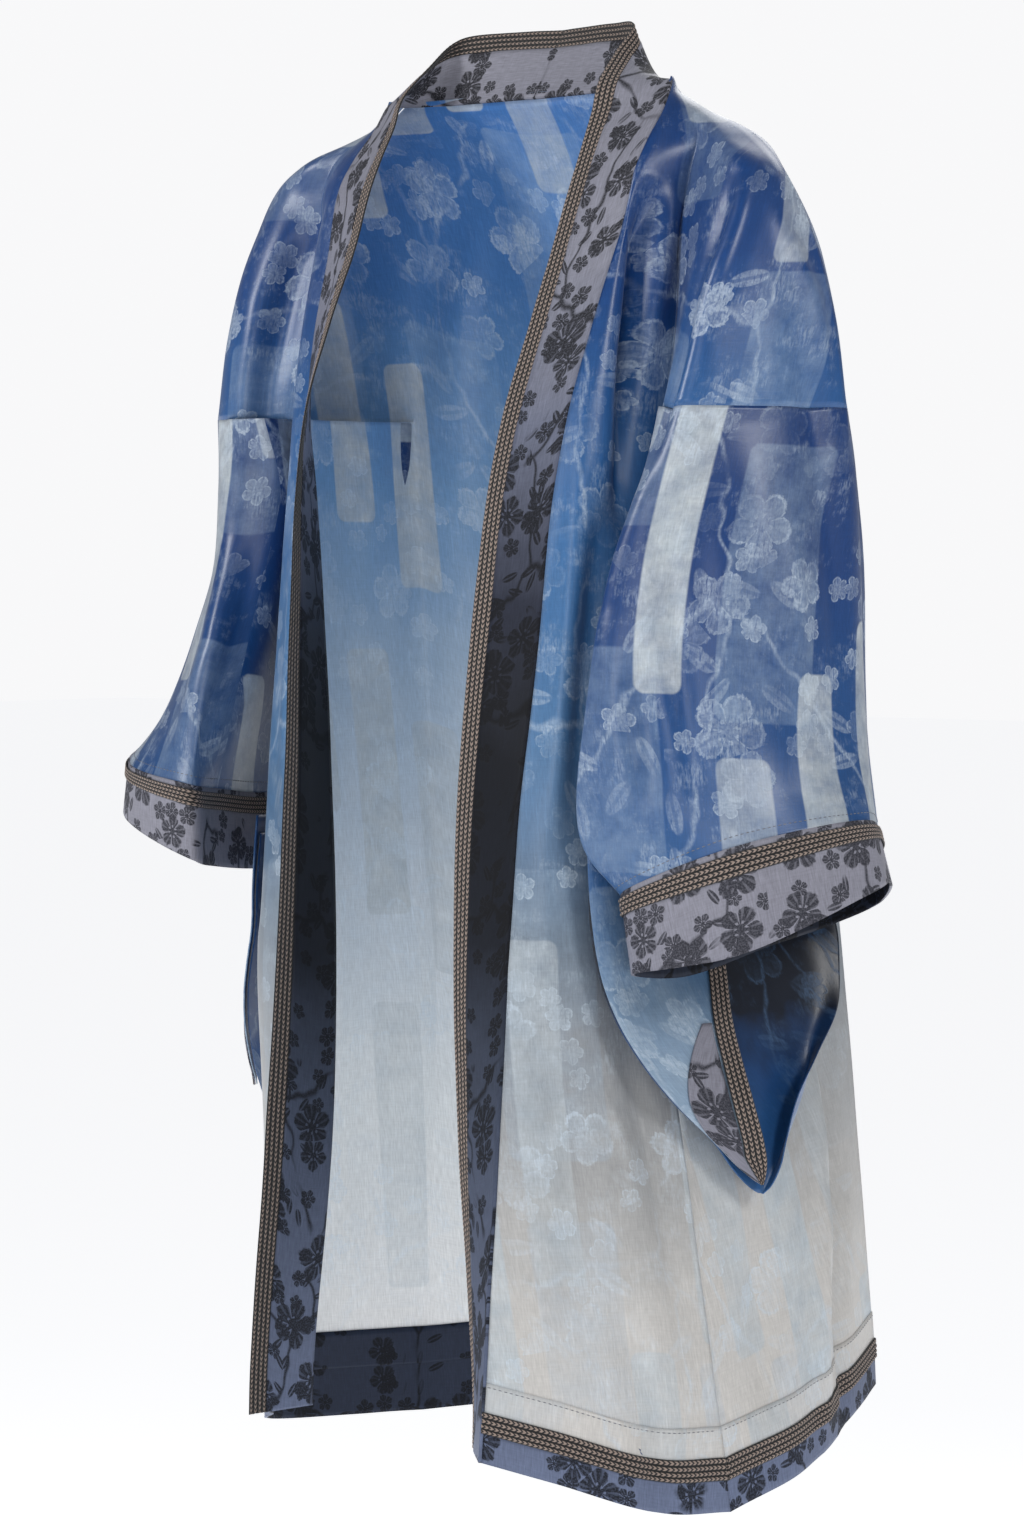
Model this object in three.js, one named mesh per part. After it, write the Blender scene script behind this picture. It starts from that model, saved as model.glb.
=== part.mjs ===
// Kimono jacket, worn open and filled out with no wearer.
// Millimetres, +Z up. +X is the wearer's left, -Y is the front. The origin is on the wearer's shoulder
// line at the side of the neck's height, in the middle of the body, where the jacket hangs.
// Every piece of cloth is a wall of constant thickness built round a smooth mid-surface. A mid-surface is
// worked out from a table of sections: each row is one level of the garment and each named column
// follows one feature (a seam, a fold, an edge) down the cloth.
import * as THREE from 'three';

// ---------------------------------------------------------------- driving dimensions
const CLOTH = 2; // wall of a printed silk panel
const BAND = 2.4; // wall of the doubled border bands
const BRAID = 1.4; // plait, without its ribs
const RIB = 0.9; // height of a plait's rib
const RIBS = 4; // plaits side by side in one braid
const SEAM = 0.4; // gap left at every seam
const LIFT = 0.5; // gap under a braid that lies on a band
const EASE = 0.3; // what each of two pieces gives up at a seam between them
const RIDGE = 1.3; // the same where the shoulder turns over
const CORNER = 1.8; // the same at the border, which stands at an angle to the panel
const NECK_BRAID = 14; // width of the braid along the front and neck edge
const NECK_BAND = 50; // whole border width, braid included
const HEM_BRAID = 13; // width of the braid on the hem band
const CUFF_BRAID = 12; // width of the braid on a cuff
const DROP_BRAID = 15; // width of the braid on a sleeve drop
const HEM = -850; // nominal level of the hem
const HEM_TOP = -817; // nominal level of the hem band's upper seam
const WAIST = -400; // below this level the hem's own rise and dip is blended in

// ---------------------------------------------------------------- tables
// Free front edge, the same on both sides: level, half distance between the edges, depth.
const EDGE = [
  // z, x, y
  [-8, 80, -3],
  [-50, 83, -25.5],
  [-100, 82.5, -47],
  [-150, 83, -71],
  [-200, 82, -93],
  [-260, 78.5, -107],
  [-340, 74, -117],
  [-450, 71, -127],
  [-560, 72.5, -132],
  [-680, 81, -134],
  [-787, 91, -134],
  [-832, 92.5, -136],
];
// Collar behind the neck: upper edge and seam, from the middle of the back to the front.
const COLLAR = [
  // edge x, y, z, seam x, y, z
  [0, 63, 41, 0, 33, -2.4],
  [45, 56, 42, 55, 34.5, -2.4],
  [72, 44, 39, 94, 37, -2.4],
  [76, 20, 20, 112, 27, -2.4],
];
// Front panels, level by level: border seam, middle, rim of the armpit fold, side seam or fold bottom.
// Above the armhole the cloth goes on over the shoulder: crest, front of the arm, shoulder ridge.
const FRONT_LEFT = [
  { z: -3, band: [127, 10], mid: [125, 14], fold: [122, 18], seam: [118, 24],
    crest: [112, 29], front: [109.5, 31.5], ridge: [107, 33.5] },
  { z: -20, band: [132, -5], mid: [134, 1], fold: [137, 8], seam: [139, 15],
    crest: [142, 23], front: [143, 27], ridge: [142, 30] },
  { z: -40, band: [133, -21], mid: [137, -17], fold: [142, -9], seam: [152, 5],
    crest: [178, -3], front: [186, 9], ridge: [187, 19] },
  { z: -60, band: [133, -33], mid: [136, -33], fold: [140, -27], seam: [150, 0],
    crest: [204, -20], front: [212, 0], ridge: [209, 17] },
  { z: -100, band: [132.5, -50], mid: [138, -49], fold: [143, -43], seam: [152, -12],
    crest: [209, -40], front: [223, -12], ridge: [226, 24] },
  { z: -150, band: [132, -72], mid: [142, -66], fold: [150, -54], seam: [157, -22],
    crest: [202, -60], front: [228, -22], ridge: [239, 28] },
  { z: -205, band: [131, -94], mid: [142, -85], fold: [152, -66], seam: [159, -32],
    crest: [195, -77], front: [230, -32], ridge: [246, 30] },
  { z: -260, band: [128, -106], mid: [142, -94], fold: [153, -72], seam: [160, -38] },
  { z: -350, band: [123, -114], mid: [140, -104], fold: [153, -77], seam: [163, -42] },
  { z: -450, band: [121, -129], mid: [141, -117], fold: [155, -81], seam: [165, -45] },
  { z: -560, band: [122, -142], mid: [147, -125], fold: [163, -85], seam: [173, -50] },
  { z: -670, band: [126, -154], mid: [155, -133], fold: [183, -91], seam: [195, -56] },
  { z: HEM_TOP, band: [127.5, -169], mid: [160.5, -140], fold: [198.4, -93.6], seam: [215, -48] },
  { z: HEM, band: [127, -171], mid: [161, -141], fold: [201, -92], seam: [218, -46] },
];
const FRONT_RIGHT = [
  { z: -3, band: [112, 22], mid: [111, 24.5], fold: [110, 27], seam: [109, 29.5],
    crest: [108.3, 31.5], front: [107.6, 32.5], ridge: [107, 33.5] },
  { z: -20, band: [118, 14], mid: [124, 17], fold: [129, 20], seam: [133, 23],
    crest: [138, 26], front: [141, 28], ridge: [142, 30] },
  { z: -40, band: [125, 2], mid: [134, 4], fold: [142, 7], seam: [152, 11],
    crest: [172, 6], front: [182, 11], ridge: [187, 19] },
  { z: -60, band: [128.5, -9], mid: [138, -8], fold: [147, -3], seam: [158, 8],
    crest: [187, 2], front: [203, 8], ridge: [209, 17] },
  { z: -100, band: [126, -22], mid: [138, -20], fold: [148, -12], seam: [158, 4],
    crest: [200, -14], front: [218, 2], ridge: [226, 24] },
  { z: -150, band: [122, -40], mid: [136, -36], fold: [147, -25], seam: [158, -6],
    crest: [204, -28], front: [226, -8], ridge: [239, 28] },
  { z: -205, band: [114, -56], mid: [131, -50], fold: [145, -36], seam: [158, -14],
    crest: [204, -36], front: [232, -12], ridge: [246, 30] },
  { z: -260, band: [102, -62], mid: [124, -58], fold: [145, -42], seam: [160, -20] },
  { z: -350, band: [87, -70], mid: [116, -68], fold: [144, -52], seam: [163, -25] },
  { z: -450, band: [76, -77], mid: [111, -76], fold: [147, -60], seam: [168, -31] },
  { z: -560, band: [68, -83], mid: [109, -81], fold: [150, -64], seam: [175, -32] },
  { z: -670, band: [70, -85], mid: [112, -80], fold: [150, -58], seam: [180, -25] },
  { z: HEM_TOP, band: [85, -85.5], mid: [123, -76.5], fold: [157, -51], seam: [189, -12] },
  { z: HEM, band: [86, -86], mid: [124, -76], fold: [158, -50], seam: [190, -10] },
];
// Back panel, left half: shoulder ridge, back of the arm, rear crest, wing, shoulder blade, middle.
const BACK_CAP = [
  { z: -3, ridge: [107, 36], rear: [95, 36], crest: [80, 36],
    wing: [60, 35], blade: [35, 34], centre: 33 },
  { z: -20, ridge: [142, 30], rear: [138, 37], crest: [125, 44],
    wing: [95, 49], blade: [60, 50], centre: 47 },
  { z: -40, ridge: [187, 19], rear: [180, 35], crest: [163, 49],
    wing: [125, 61], blade: [70, 64], centre: 60 },
  { z: -60, ridge: [209, 17], rear: [200, 29], crest: [182, 46],
    wing: [140, 64], blade: [75, 75], centre: 70 },
  { z: -100, ridge: [226, 24], rear: [216, 40], crest: [191, 64],
    wing: [148, 76], blade: [85, 90], centre: 84 },
  { z: -150, ridge: [239, 28], rear: [226, 46], crest: [192, 81],
    wing: [153, 86], blade: [92, 103], centre: 97 },
  { z: -205, ridge: [246, 30], rear: [230, 52], crest: [194, 92],
    wing: [157, 94], blade: [97, 115], centre: 109 },
];
// Below the armhole: side of the body, wing, shoulder blade, middle. The side seam is the front's.
const BACK_BODY = [
  { z: -205, side: [167, 25], wing: [157, 94], blade: [97, 115], centre: 109 },
  { z: -260, side: [169, 26], wing: [159, 99], blade: [99, 124], centre: 118 },
  { z: -350, side: [173, 28], wing: [161, 110], blade: [102, 137], centre: 130 },
  { z: -450, side: [172, 29], wing: [164, 120], blade: [106, 150], centre: 143 },
  { z: -560, side: [180, 29], wing: [169, 130], blade: [110, 168], centre: 160 },
  { z: -670, side: [204, 28], wing: [178, 136], blade: [114, 182], centre: 174 },
  { z: HEM_TOP, side: [221, 25.5], wing: [188.4, 141], blade: [117.5, 194], centre: 187.4 },
  { z: HEM, side: [223, 25], wing: [190, 142], blade: [118, 196], centre: 190 },
];
// Real level of the hem under each column.
const HEM_LEFT = { band: -830, mid: -843, fold: -863, seam: -867, side: -850, wing: -818, blade: -836 };
const HEM_RIGHT = { band: -832, mid: -838, fold: -848, seam: -860, side: -872, wing: -878, blade: -868 };
const HEM_CENTRE = -853;
// Sleeves below the armhole, ring by ring. Inner-front, crest, front, ridge, rear, rear crest,
// inner-back, inner side. A third number is that point's own level. The cuff's seam is the last ring.
const SLEEVE_LEFT = [
  { z: -250, inner: [167, -50], crest: [187, -91], front: [229, -48], ridge: [251, 28], rear: [235, 54],
    back: [200, 94], hollow: [170, 100], side: [178, 25] },
  { z: -297, inner: [165, -74], crest: [174, -102], front: [228, -62], ridge: [254, 26], rear: [238, 55],
    back: [202, 97], hollow: [175, 100], side: [182, 25] },
  { z: -354, inner: [163, -88], crest: [165, -110], front: [229, -73], ridge: [257, 22], rear: [241, 54],
    back: [204, 97], hollow: [179, 99], side: [187, 24] },
  { z: -413, inner: [168, -92, -450], crest: [159, -116, -462], front: [234, -80], ridge: [264, 17],
    rear: [247, 52],
    back: [210, 95], hollow: [187, 94], side: [193, 20] },
];
const SLEEVE_RIGHT = [
  { z: -250, inner: [164, -28], crest: [197, -45], front: [229, -13], ridge: [246, 26], rear: [235, 56],
    back: [200, 96], hollow: [169, 100], side: [178, 25] },
  { z: -297, inner: [166, -38], crest: [191, -53], front: [230, -17], ridge: [248, 22], rear: [237, 56],
    back: [202, 98], hollow: [174, 101], side: [182, 25] },
  { z: -346, inner: [170, -50], crest: [184, -70], front: [235, -34], ridge: [255, 15], rear: [243, 52],
    back: [205, 95], hollow: [180, 97], side: [188, 22] },
  { z: -392, inner: [174, -62], crest: [178, -88], front: [241, -54], ridge: [265, 6], rear: [251, 48],
    back: [211, 92], hollow: [188, 92], side: [195, 17] },
];
// Cuff: upper seam and lower edge. Each point has its own level; the right arm is held a little higher.
const CUFF_TOP = {
  inner: [189, -62, -497], crest: [177, -99, -496], front: [244, -86, -468], ridge: [285, -12, -452],
  rear: [269, 33, -458], back: [227, 76, -476], hollow: [205, 74, -488], side: [205, 6, -498],
};
const CUFF_END = {
  inner: [191, -60, -546], crest: [180, -93, -543], front: [252, -82, -512], ridge: [292, -10, -489],
  rear: [276, 36, -500], back: [236, 78, -524], hollow: [211, 70, -538], side: [208, 8, -546],
};
// Rise of each cuff, and how much faster it rises for every millimetre nearer the body.
const CUFF_LIFT = { left: [0, 0], right: [34, 0.26] };
// How much lower each side's cuff ends than the table says; the left one sags in front.
const CUFF_SAG = { left: { front: 16, ridge: 6 }, right: { front: -12, ridge: -8 } };
const CUFF_OUT = 255; // distance out at which a cuff has just its rise
// Sleeve drop below the cuff. Front leaf: outline to free edge. Back leaf: outline, inner side,
// rear outline and the lip that turns forward over the hollow.
const DROP_FRONT = [
  { z: -467, outline: [157.4, -118.4], free: [186, -14] },
  { z: -520, outline: [165, -111], free: [186, -14] },
  { z: -548, outline: [169, -106], free: [189, -13] },
  { z: -574, outline: [177, -99], free: [198, -19] },
  { z: -598, outline: [187, -88], free: [208, -22] },
  { z: -621, outline: [197, -72], free: [218, -24] },
  { z: -648, outline: [209, -46], free: [222, -18] },
  { z: -672, outline: [217, -23], free: [223, -14] },
];
const DROP_BACK = [
  { z: -480, outline: [156.8, -115.6], inner: [176, -30], turn: [183, 56], lip: [186, 76] },
  { z: -520, outline: [162.7, -110.4], inner: [177, -30], turn: [186, 60], lip: [190, 80] },
  { z: -548, outline: [166.7, -105.3], inner: [180, -30], turn: [196, 62], lip: [206, 80] },
  { z: -574, outline: [174.9, -98.2], inner: [187, -30], turn: [203, 58], lip: [213, 68] },
  { z: -598, outline: [185, -86.8], inner: [195, -30], turn: [206, 50], lip: [217, 42] },
  { z: -621, outline: [195, -70.8], inner: [202, -28], turn: [209, 36], lip: [221, 18] },
  { z: -648, outline: [206.8, -44.8], inner: [208, -24], turn: [214, 14], lip: [224, 2] },
  { z: -678, outline: [213, -25], inner: [215, -20], turn: [218, -8], lip: [223, -6] },
];
// Where each drop hangs: out, first point's depth, share of the depth, first level, share of the length.
const DROP_PLACE = { left: [0, -118.4, 1, -467, 1], right: [9, -50, 0.68, -462, 0.9] };
const DROP_BAND_TOP = 3; // row of the front leaf where the grey wedge starts
const WIDEST = 0.6; // most of a leaf's width that its plait takes

// ---------------------------------------------------------------- mid-surfaces
const vec = (x, y, z) => new THREE.Vector3(x, y, z);

/** A feature line down the cloth: a smooth curve through one column of a table, v by row. */
function line(points) {
  const curve = new THREE.CatmullRomCurve3(points);
  return (v) => curve.getPoint(v / (points.length - 1));
}

/** A smooth surface across feature lines: u runs from line to line by index, v along them. */
const surface = (lines) => (u, v) =>
  new THREE.CatmullRomCurve3(lines.map((at) => at(v))).getPoint(u / (lines.length - 1));

/** The same round a closed ring of lines. */
const tube = (lines) => (u, v) =>
  new THREE.CatmullRomCurve3(lines.map((at) => at(v)), true).getPoint(u / lines.length);

/** Even steps from a to b, n to each unit. */
function steps(a, b, n) {
  const count = Math.max(1, Math.round((b - a) * n));
  return Array.from({ length: count + 1 }, (_, i) => a + ((b - a) * i) / count);
}

/** A grid of points of a surface. */
const grid = (at, us, vs) => vs.map((v) => us.map((u) => at(u, v)));

/** Pull the first and last rows or columns of a grid in by a distance, for the gap at a seam. */
function trim(points, { top = 0, bottom = 0, left = 0, right = 0 }) {
  const pull = (line, next, d) => line.forEach((p, i) => {
    const way = next[i].clone().sub(p);
    p.addScaledVector(way, Math.min(0.5, d / Math.max(way.length(), 1e-6)));
  });
  const column = (j) => points.map((row) => row[j]);
  const last = points.length - 1;
  const end = points[0].length - 1;
  if (top) pull(points[0], points[1], top);
  if (bottom) pull(points[last], points[last - 1], bottom);
  if (left) pull(column(0), column(1), left);
  if (right) pull(column(end), column(end - 1), right);
  return points;
}

// ---------------------------------------------------------------- walls
/** Weld grids that share edges into one sheet of points and four-sided faces. */
function sheet(grids, closed = false) {
  const points = [];
  const faces = [];
  const known = new Map();
  const index = (p) => {
    const key = [p.x, p.y, p.z].map((c) => Math.round(c * 1e3)).join();
    if (!known.has(key)) {
      known.set(key, points.length);
      points.push(p);
    }
    return known.get(key);
  };
  for (const g of grids) {
    const ids = g.map((row) => row.map(index));
    const across = ids[0].length - (closed ? 0 : 1);
    for (let i = 0; i + 1 < ids.length; i++) {
      for (let j = 0; j < across; j++) {
        const k = (j + 1) % ids[0].length;
        faces.push([ids[i][j], ids[i + 1][j], ids[i + 1][k], ids[i][k]]);
      }
    }
  }
  return { points, faces };
}

/** Unit normals of a sheet's points, from the faces round each. */
function normals({ points, faces }) {
  const sum = points.map(() => vec(0, 0, 0));
  for (const f of faces) {
    const n = points[f[2]].clone().sub(points[f[0]]).cross(points[f[3]].clone().sub(points[f[1]]));
    for (const i of f) sum[i].add(n);
  }
  return sum.map((n) => n.normalize());
}

/**
 * Give a sheet its thickness: an outer skin at `out` and an inner skin at `inn` along the normals, and a
 * strip along every free edge. `relief(i)` adds to the outer skin at point i.
 */
function wall(cloth, out, inn, relief = () => 0) {
  const { points, faces } = cloth;
  const up = normals(cloth);
  const position = [];
  points.forEach((p, i) => position.push(...p.clone().addScaledVector(up[i], out + relief(i)).toArray()));
  points.forEach((p, i) => position.push(...p.clone().addScaledVector(up[i], inn).toArray()));
  const n = points.length;
  const triangles = [];
  const quad = (a, b, c, d) => triangles.push(a, b, c, a, c, d);
  const edges = new Map();
  for (const f of faces) {
    quad(...f);
    quad(...f.map((i) => i + n).reverse());
    f.forEach((a, k) => {
      const b = f[(k + 1) % 4];
      const back = `${b},${a}`;
      if (edges.has(back)) edges.delete(back);
      else edges.set(`${a},${b}`, [a, b]);
    });
  }
  for (const [a, b] of edges.values()) quad(b, a, a + n, b + n);
  const geometry = new THREE.BufferGeometry();
  geometry.setAttribute('position', new THREE.Float32BufferAttribute(position, 3));
  geometry.setIndex(triangles);
  return geometry;
}

/** Swap left and right of a list of grids, keeping the faces turned out. */
const mirrored = (grids) => grids.map((g) => g.map((row) => row.map((p) => vec(-p.x, p.y, p.z)).reverse()));

// ---------------------------------------------------------------- feature lines of the garment
/** The real level of a nominal one, for a column whose hem hangs at `hem`. */
const level = (z, hem) => (z > WAIST ? z : WAIST + ((z - WAIST) * (hem - WAIST)) / (HEM - WAIST));

/** One named column of a table as a line, its levels fitted to the hem. */
const column = (table, name, hem = HEM) => line(table.map((row) => vec(...row[name], level(row.z, hem))));

/** The free front edge at a nominal level. */
function edgeAt(z, hem) {
  const below = EDGE.findIndex((row) => row[0] <= z);
  const k = below < 0 ? EDGE.length - 1 : Math.max(1, below);
  const [a, b] = [EDGE[k - 1], EDGE[k]];
  const t = Math.min(1, Math.max(0, (a[0] - z) / (a[0] - b[0])));
  return vec(a[1] + (b[1] - a[1]) * t, a[2] + (b[2] - a[2]) * t, level(z, hem));
}

const CAP_ROWS = 6; // last row of the shoulder, at the armhole
const PANEL_ROWS = 12; // row of the hem band's upper seam
const HEM_ROW = 13;
const RING = 8; // feature lines round a sleeve
const SLEEVE_ROWS = 5; // row of the seam to the cuff
const back = [...BACK_CAP.slice(0, CAP_ROWS), ...BACK_BODY];
const centre = line(back.map((row) => vec(0, row.centre, level(row.z, HEM_CENTRE))));

/** Everything that follows one side: lines of the panels, sleeve, cuff and border. */
function side(front, sleeve, hem, [lift, slope], sag) {
  const f = (name) => column(front, name, hem[name]);
  const cap = (name) => column(front.slice(0, CAP_ROWS + 1), name);
  const rear = (name) => column(BACK_CAP, name);
  const lines = {
    band: f('band'), mid: f('mid'), fold: f('fold'), seam: f('seam'),
    crest: cap('crest'), front: cap('front'), ridge: cap('ridge'),
    backRidge: rear('ridge'), backRear: rear('rear'), backCrest: rear('crest'),
    wing: column(back, 'wing', hem.wing), blade: column(back, 'blade', hem.blade),
  };
  const body = column(BACK_BODY, 'side', hem.side);
  lines.side = (v) => body(v - CAP_ROWS);
  const armhole = { z: -205, inner: [165, -42], crest: front[CAP_ROWS].crest, front: front[CAP_ROWS].front,
    ridge: front[CAP_ROWS].ridge, rear: BACK_CAP[CAP_ROWS].rear, back: BACK_CAP[CAP_ROWS].crest,
    hollow: [165, 99], side: [176, 25] };
  const rings = [armhole, ...sleeve].map((row) => Object.fromEntries(
    Object.keys(CUFF_TOP).map((name) => [name, vec(row[name][0], row[name][1], row[name][2] ?? row.z)])));
  const raised = ([x, y, z]) => vec(x, y, z + lift + slope * Math.max(0, CUFF_OUT - x));
  rings.push(Object.fromEntries(Object.keys(CUFF_TOP).map((name) => [name, raised(CUFF_TOP[name])])));
  const ended = ([x, y, z], name) => raised([x, y, z - (sag[name] ?? 0)]);
  lines.cuff = Object.keys(CUFF_TOP).map((name) =>
    line([raised(CUFF_TOP[name]), ended(CUFF_END[name], name)]));
  lines.sleeve = Object.keys(CUFF_TOP).map((name) => line(rings.map((ring) => ring[name])));
  const edge = [...COLLAR.map((c) => vec(c[0], c[1], c[2])), ...front.map((row) => edgeAt(row.z, hem.band))];
  const seam = [...COLLAR.map((c) => vec(c[3], c[4], c[5])),
    ...front.map((row) => vec(...row.band, level(row.z, hem.band)))];
  lines.border = [line(edge), line(seam)];
  return lines;
}
const flipLine = (at) => (v) => at(v).multiply(vec(-1, 1, 1));
const left = side(FRONT_LEFT, SLEEVE_LEFT, HEM_LEFT, CUFF_LIFT.left, CUFF_SAG.left);
const right = side(FRONT_RIGHT, SLEEVE_RIGHT, HEM_RIGHT, CUFF_LIFT.right, CUFF_SAG.right);

// ---------------------------------------------------------------- pieces
/** Levels from row a to row b: two to a row over the shoulder, one to a row below. */
const LEVELS = [...steps(0, CAP_ROWS, 2), ...steps(CAP_ROWS, PANEL_ROWS, 1).slice(1)];
const levels = (a, b) => LEVELS.filter((v) => v >= a && v <= b);

/** Make column j of one grid the same points as column k of another, from its row `start` on. */
const weld = (g, j, to, k, start) => g.forEach((row, i) => { row[j] = to[start + i][k]; });

/** A front panel: the flat front down to the hem band, and the cloth over the shoulder to the armhole. */
function frontPanel(s) {
  const flat = grid(surface([s.band, s.mid, s.fold, s.seam]), steps(0, 3, 2), levels(0, PANEL_ROWS));
  const over = grid(surface([s.seam, s.crest, s.front, s.ridge]), steps(0, 3, 3), levels(0, CAP_ROWS));
  trim(flat, { left: CORNER, bottom: EASE, top: CORNER });
  trim([flat[0]], { left: CORNER });
  flat.slice(2 * CAP_ROWS + 1).forEach((row) => trim([row], { right: EASE }));
  trim(over, { bottom: EASE, right: RIDGE, top: CORNER });
  over.slice(0, 4).forEach((row) => trim([row], { right: RIDGE }));
  weld(over, 0, flat, flat[0].length - 1, 0);
  return [flat, over];
}

/** The middle of the back, from wing to wing, and its flanks, from wing to side seam, at some rows. */
const backMiddle = (rows) => grid(surface(
  [left.wing, left.blade, centre, flipLine(right.blade), flipLine(right.wing)]), steps(0, 4, 3), rows);
const backFlanks = (rows) => {
  const [a, b] = [left, right].map((s) => grid(surface([s.seam, s.side, s.wing]), steps(0, 2, 3), rows));
  return [a, ...mirrored([b])];
};

/** Join the flanks to the middle along the wings, from the body's row `start` on. */
function joinFlanks([body, leftFlank, rightFlank], start = 0) {
  weld(leftFlank, leftFlank[0].length - 1, body, 0, start);
  weld(rightFlank, 0, body, body[0].length - 1, start);
}

/** The back panel: one piece from side seam to side seam, over both shoulders. */
function backPanel() {
  const body = backMiddle(levels(0, PANEL_ROWS));
  const [leftFlank, rightFlank] = backFlanks(levels(CAP_ROWS, PANEL_ROWS));
  const caps = [left, right].map((s) =>
    grid(surface([s.backRidge, s.backRear, s.backCrest, s.wing]), steps(0, 3, 3), levels(0, CAP_ROWS)));
  trim(body, { top: EASE, bottom: EASE });
  trim(leftFlank, { left: RIDGE, bottom: EASE, top: 2 });
  trim(rightFlank, { right: RIDGE, bottom: EASE, top: 2 });
  caps.forEach((cap) => trim(cap, { bottom: EASE, left: RIDGE }));
  const shoulders = [caps[0], mirrored([caps[1]])[0]];
  joinFlanks([body, leftFlank, rightFlank], 2 * CAP_ROWS);
  joinFlanks([body, ...shoulders]);
  return [body, leftFlank, rightFlank, ...shoulders];
}

/** A ring of the back below the panel, for the hem band and its plait. */
function backHem(rows, { top = 0, ends }) {
  const body = backMiddle(rows);
  const [leftFlank, rightFlank] = backFlanks(rows);
  trim(body, { top });
  trim(leftFlank, { top, left: ends });
  trim(rightFlank, { top, right: ends });
  joinFlanks([body, leftFlank, rightFlank]);
  return [body, leftFlank, rightFlank];
}

/** A sleeve tube from the armhole to the cuff. */
const sleeveTube = (s) => {
  const g = grid(tube(s.sleeve), steps(0, RING, 3).slice(0, -1), steps(0, SLEEVE_ROWS, 1));
  return [trim(g, { top: SEAM, bottom: EASE })];
};

const PLAIT_START = 0.03; // share of a band left bare above its braid
const cuffHeight = CUFF_TOP.crest[2] - CUFF_END.crest[2];
const cuffRing = (s, vs) => grid(tube(s.cuff), steps(0, RING, 2).slice(0, -1), vs);
const cuffBand = (s) => [trim(cuffRing(s, [0, 0.5, 1]), { top: 2 * EASE })];
/** Parameters from a to b that give every plait a ridge and every gap a valley. */
const ribRows = (a, b) => Array.from({ length: 2 * RIBS + 1 }, (_, i) => a + ((b - a) * i) / (2 * RIBS));
const cuffPlait = (s) => [cuffRing(s, ribRows(PLAIT_START, CUFF_BRAID / cuffHeight))];

/** Part of the front and neck border, between two shares of its width. */
function border(s, from, to, shares) {
  const across = surface(s.border);
  const last = COLLAR.length + FRONT_LEFT.length - 1;
  const g = grid(across, shares.map((share) => from + (to - from) * share), steps(0, last, 1));
  return [trim(g, { top: SEAM / 2 })];
}
const BRAID_SHARE = NECK_BRAID / NECK_BAND;
const BAND_SHARES = [BRAID_SHARE + 0.035, 0.985]; // clear of the braid and of the panel's seam
const neckBand = (s) => border(s, ...BAND_SHARES, [0, 0.5, 1]);
const neckPlait = (s) => border(s, 0, BRAID_SHARE, ribRows(0, 1));

/** A stretch of the hem band, or of the plait along its upper edge. */
function hemStrip(lines, n, vs, pulls) {
  return [trim(grid(surface(lines), steps(0, lines.length - 1, n), vs), pulls)];
}
const hemPlaitRows = ribRows(PANEL_ROWS + PLAIT_START, PANEL_ROWS + HEM_BRAID / (HEM_TOP - HEM));
const hemBandRows = [PANEL_ROWS, HEM_ROW];
const frontHem = (s) => [s.band, s.mid, s.fold, s.seam];

/** The leaves of one side's sleeve drop. */
function drop([out, depth, deep, high, long]) {
  const place = ([x, y], z) => vec(x + out, depth + (y - DROP_FRONT[0].outline[1]) * deep,
    high + (z - DROP_FRONT[0].z) * long);
  const lines = (table, names) => names.map((name) => line(table.map((row) => place(row[name], row.z))));
  const leaf = surface(lines(DROP_FRONT, ['outline', 'free']));
  const pouch = surface(lines(DROP_BACK, ['outline', 'inner', 'turn', 'lip']));
  const last = DROP_FRONT.length - 1;
  const rows = steps(0, last, 1);
  // Share of the leaf's width under the plait, at most WIDEST near the tip.
  const plaitShare = (v) => Math.min(WIDEST, DROP_BRAID / leaf(0, v).distanceTo(leaf(1, v)));
  // The grey wedge beside the plait widens down to the tip.
  const wedge = steps(DROP_BAND_TOP, last, 1).map((v) => {
    const inner = 0.98 - plaitShare(v);
    const open = Math.min(1, (v - DROP_BAND_TOP + 0.25) / (last - DROP_BAND_TOP - 1));
    return [0, 0.5, 1].map((t) => leaf(inner - inner * 0.95 * open * (1 - t), v));
  });
  return {
    front: [grid(leaf, steps(0, 1, 3), rows)],
    back: [grid(pouch, steps(0, 3, 3), rows)],
    plait: [rows.map((v) => ribRows(1 - plaitShare(v), 0.99).map((u) => leaf(u, v)))],
    wedge: [wedge],
  };
}

// ---------------------------------------------------------------- assembly
const SILK = 0x3f6ba5;
const GREY = 0x6f6f7c;
const PLAIT = 0x6e6058;
const jacket = new THREE.Group();

function add(name, geometry, color, roughness) {
  const mesh = new THREE.Mesh(geometry, new THREE.MeshStandardMaterial({ color, roughness, metalness: 0 }));
  mesh.name = name;
  jacket.add(mesh);
}
const panel = (cloth) => wall(cloth, CLOTH / 2, -CLOTH / 2);
const strip = (cloth) => wall(cloth, BAND / 2, -BAND / 2);

/** A braid: a thin wall whose every second row, or column, of points is raised. */
function plaits(grids, byRow, base, closed = false) {
  const cloth = sheet(grids, closed);
  const raised = new Set();
  grids.forEach((g) => g.forEach((row, i) => row.forEach((p, j) => {
    if ((byRow ? i : j) % 2) raised.add(p);
  })));
  return wall(cloth, base + BRAID, base, (i) => (raised.has(cloth.points[i]) ? RIB : 0));
}
const onBand = BAND / 2 + LIFT;
const onLeaf = CLOTH / 2 + 2.5 * LIFT; // a leaf turns more sharply than a band

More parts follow.
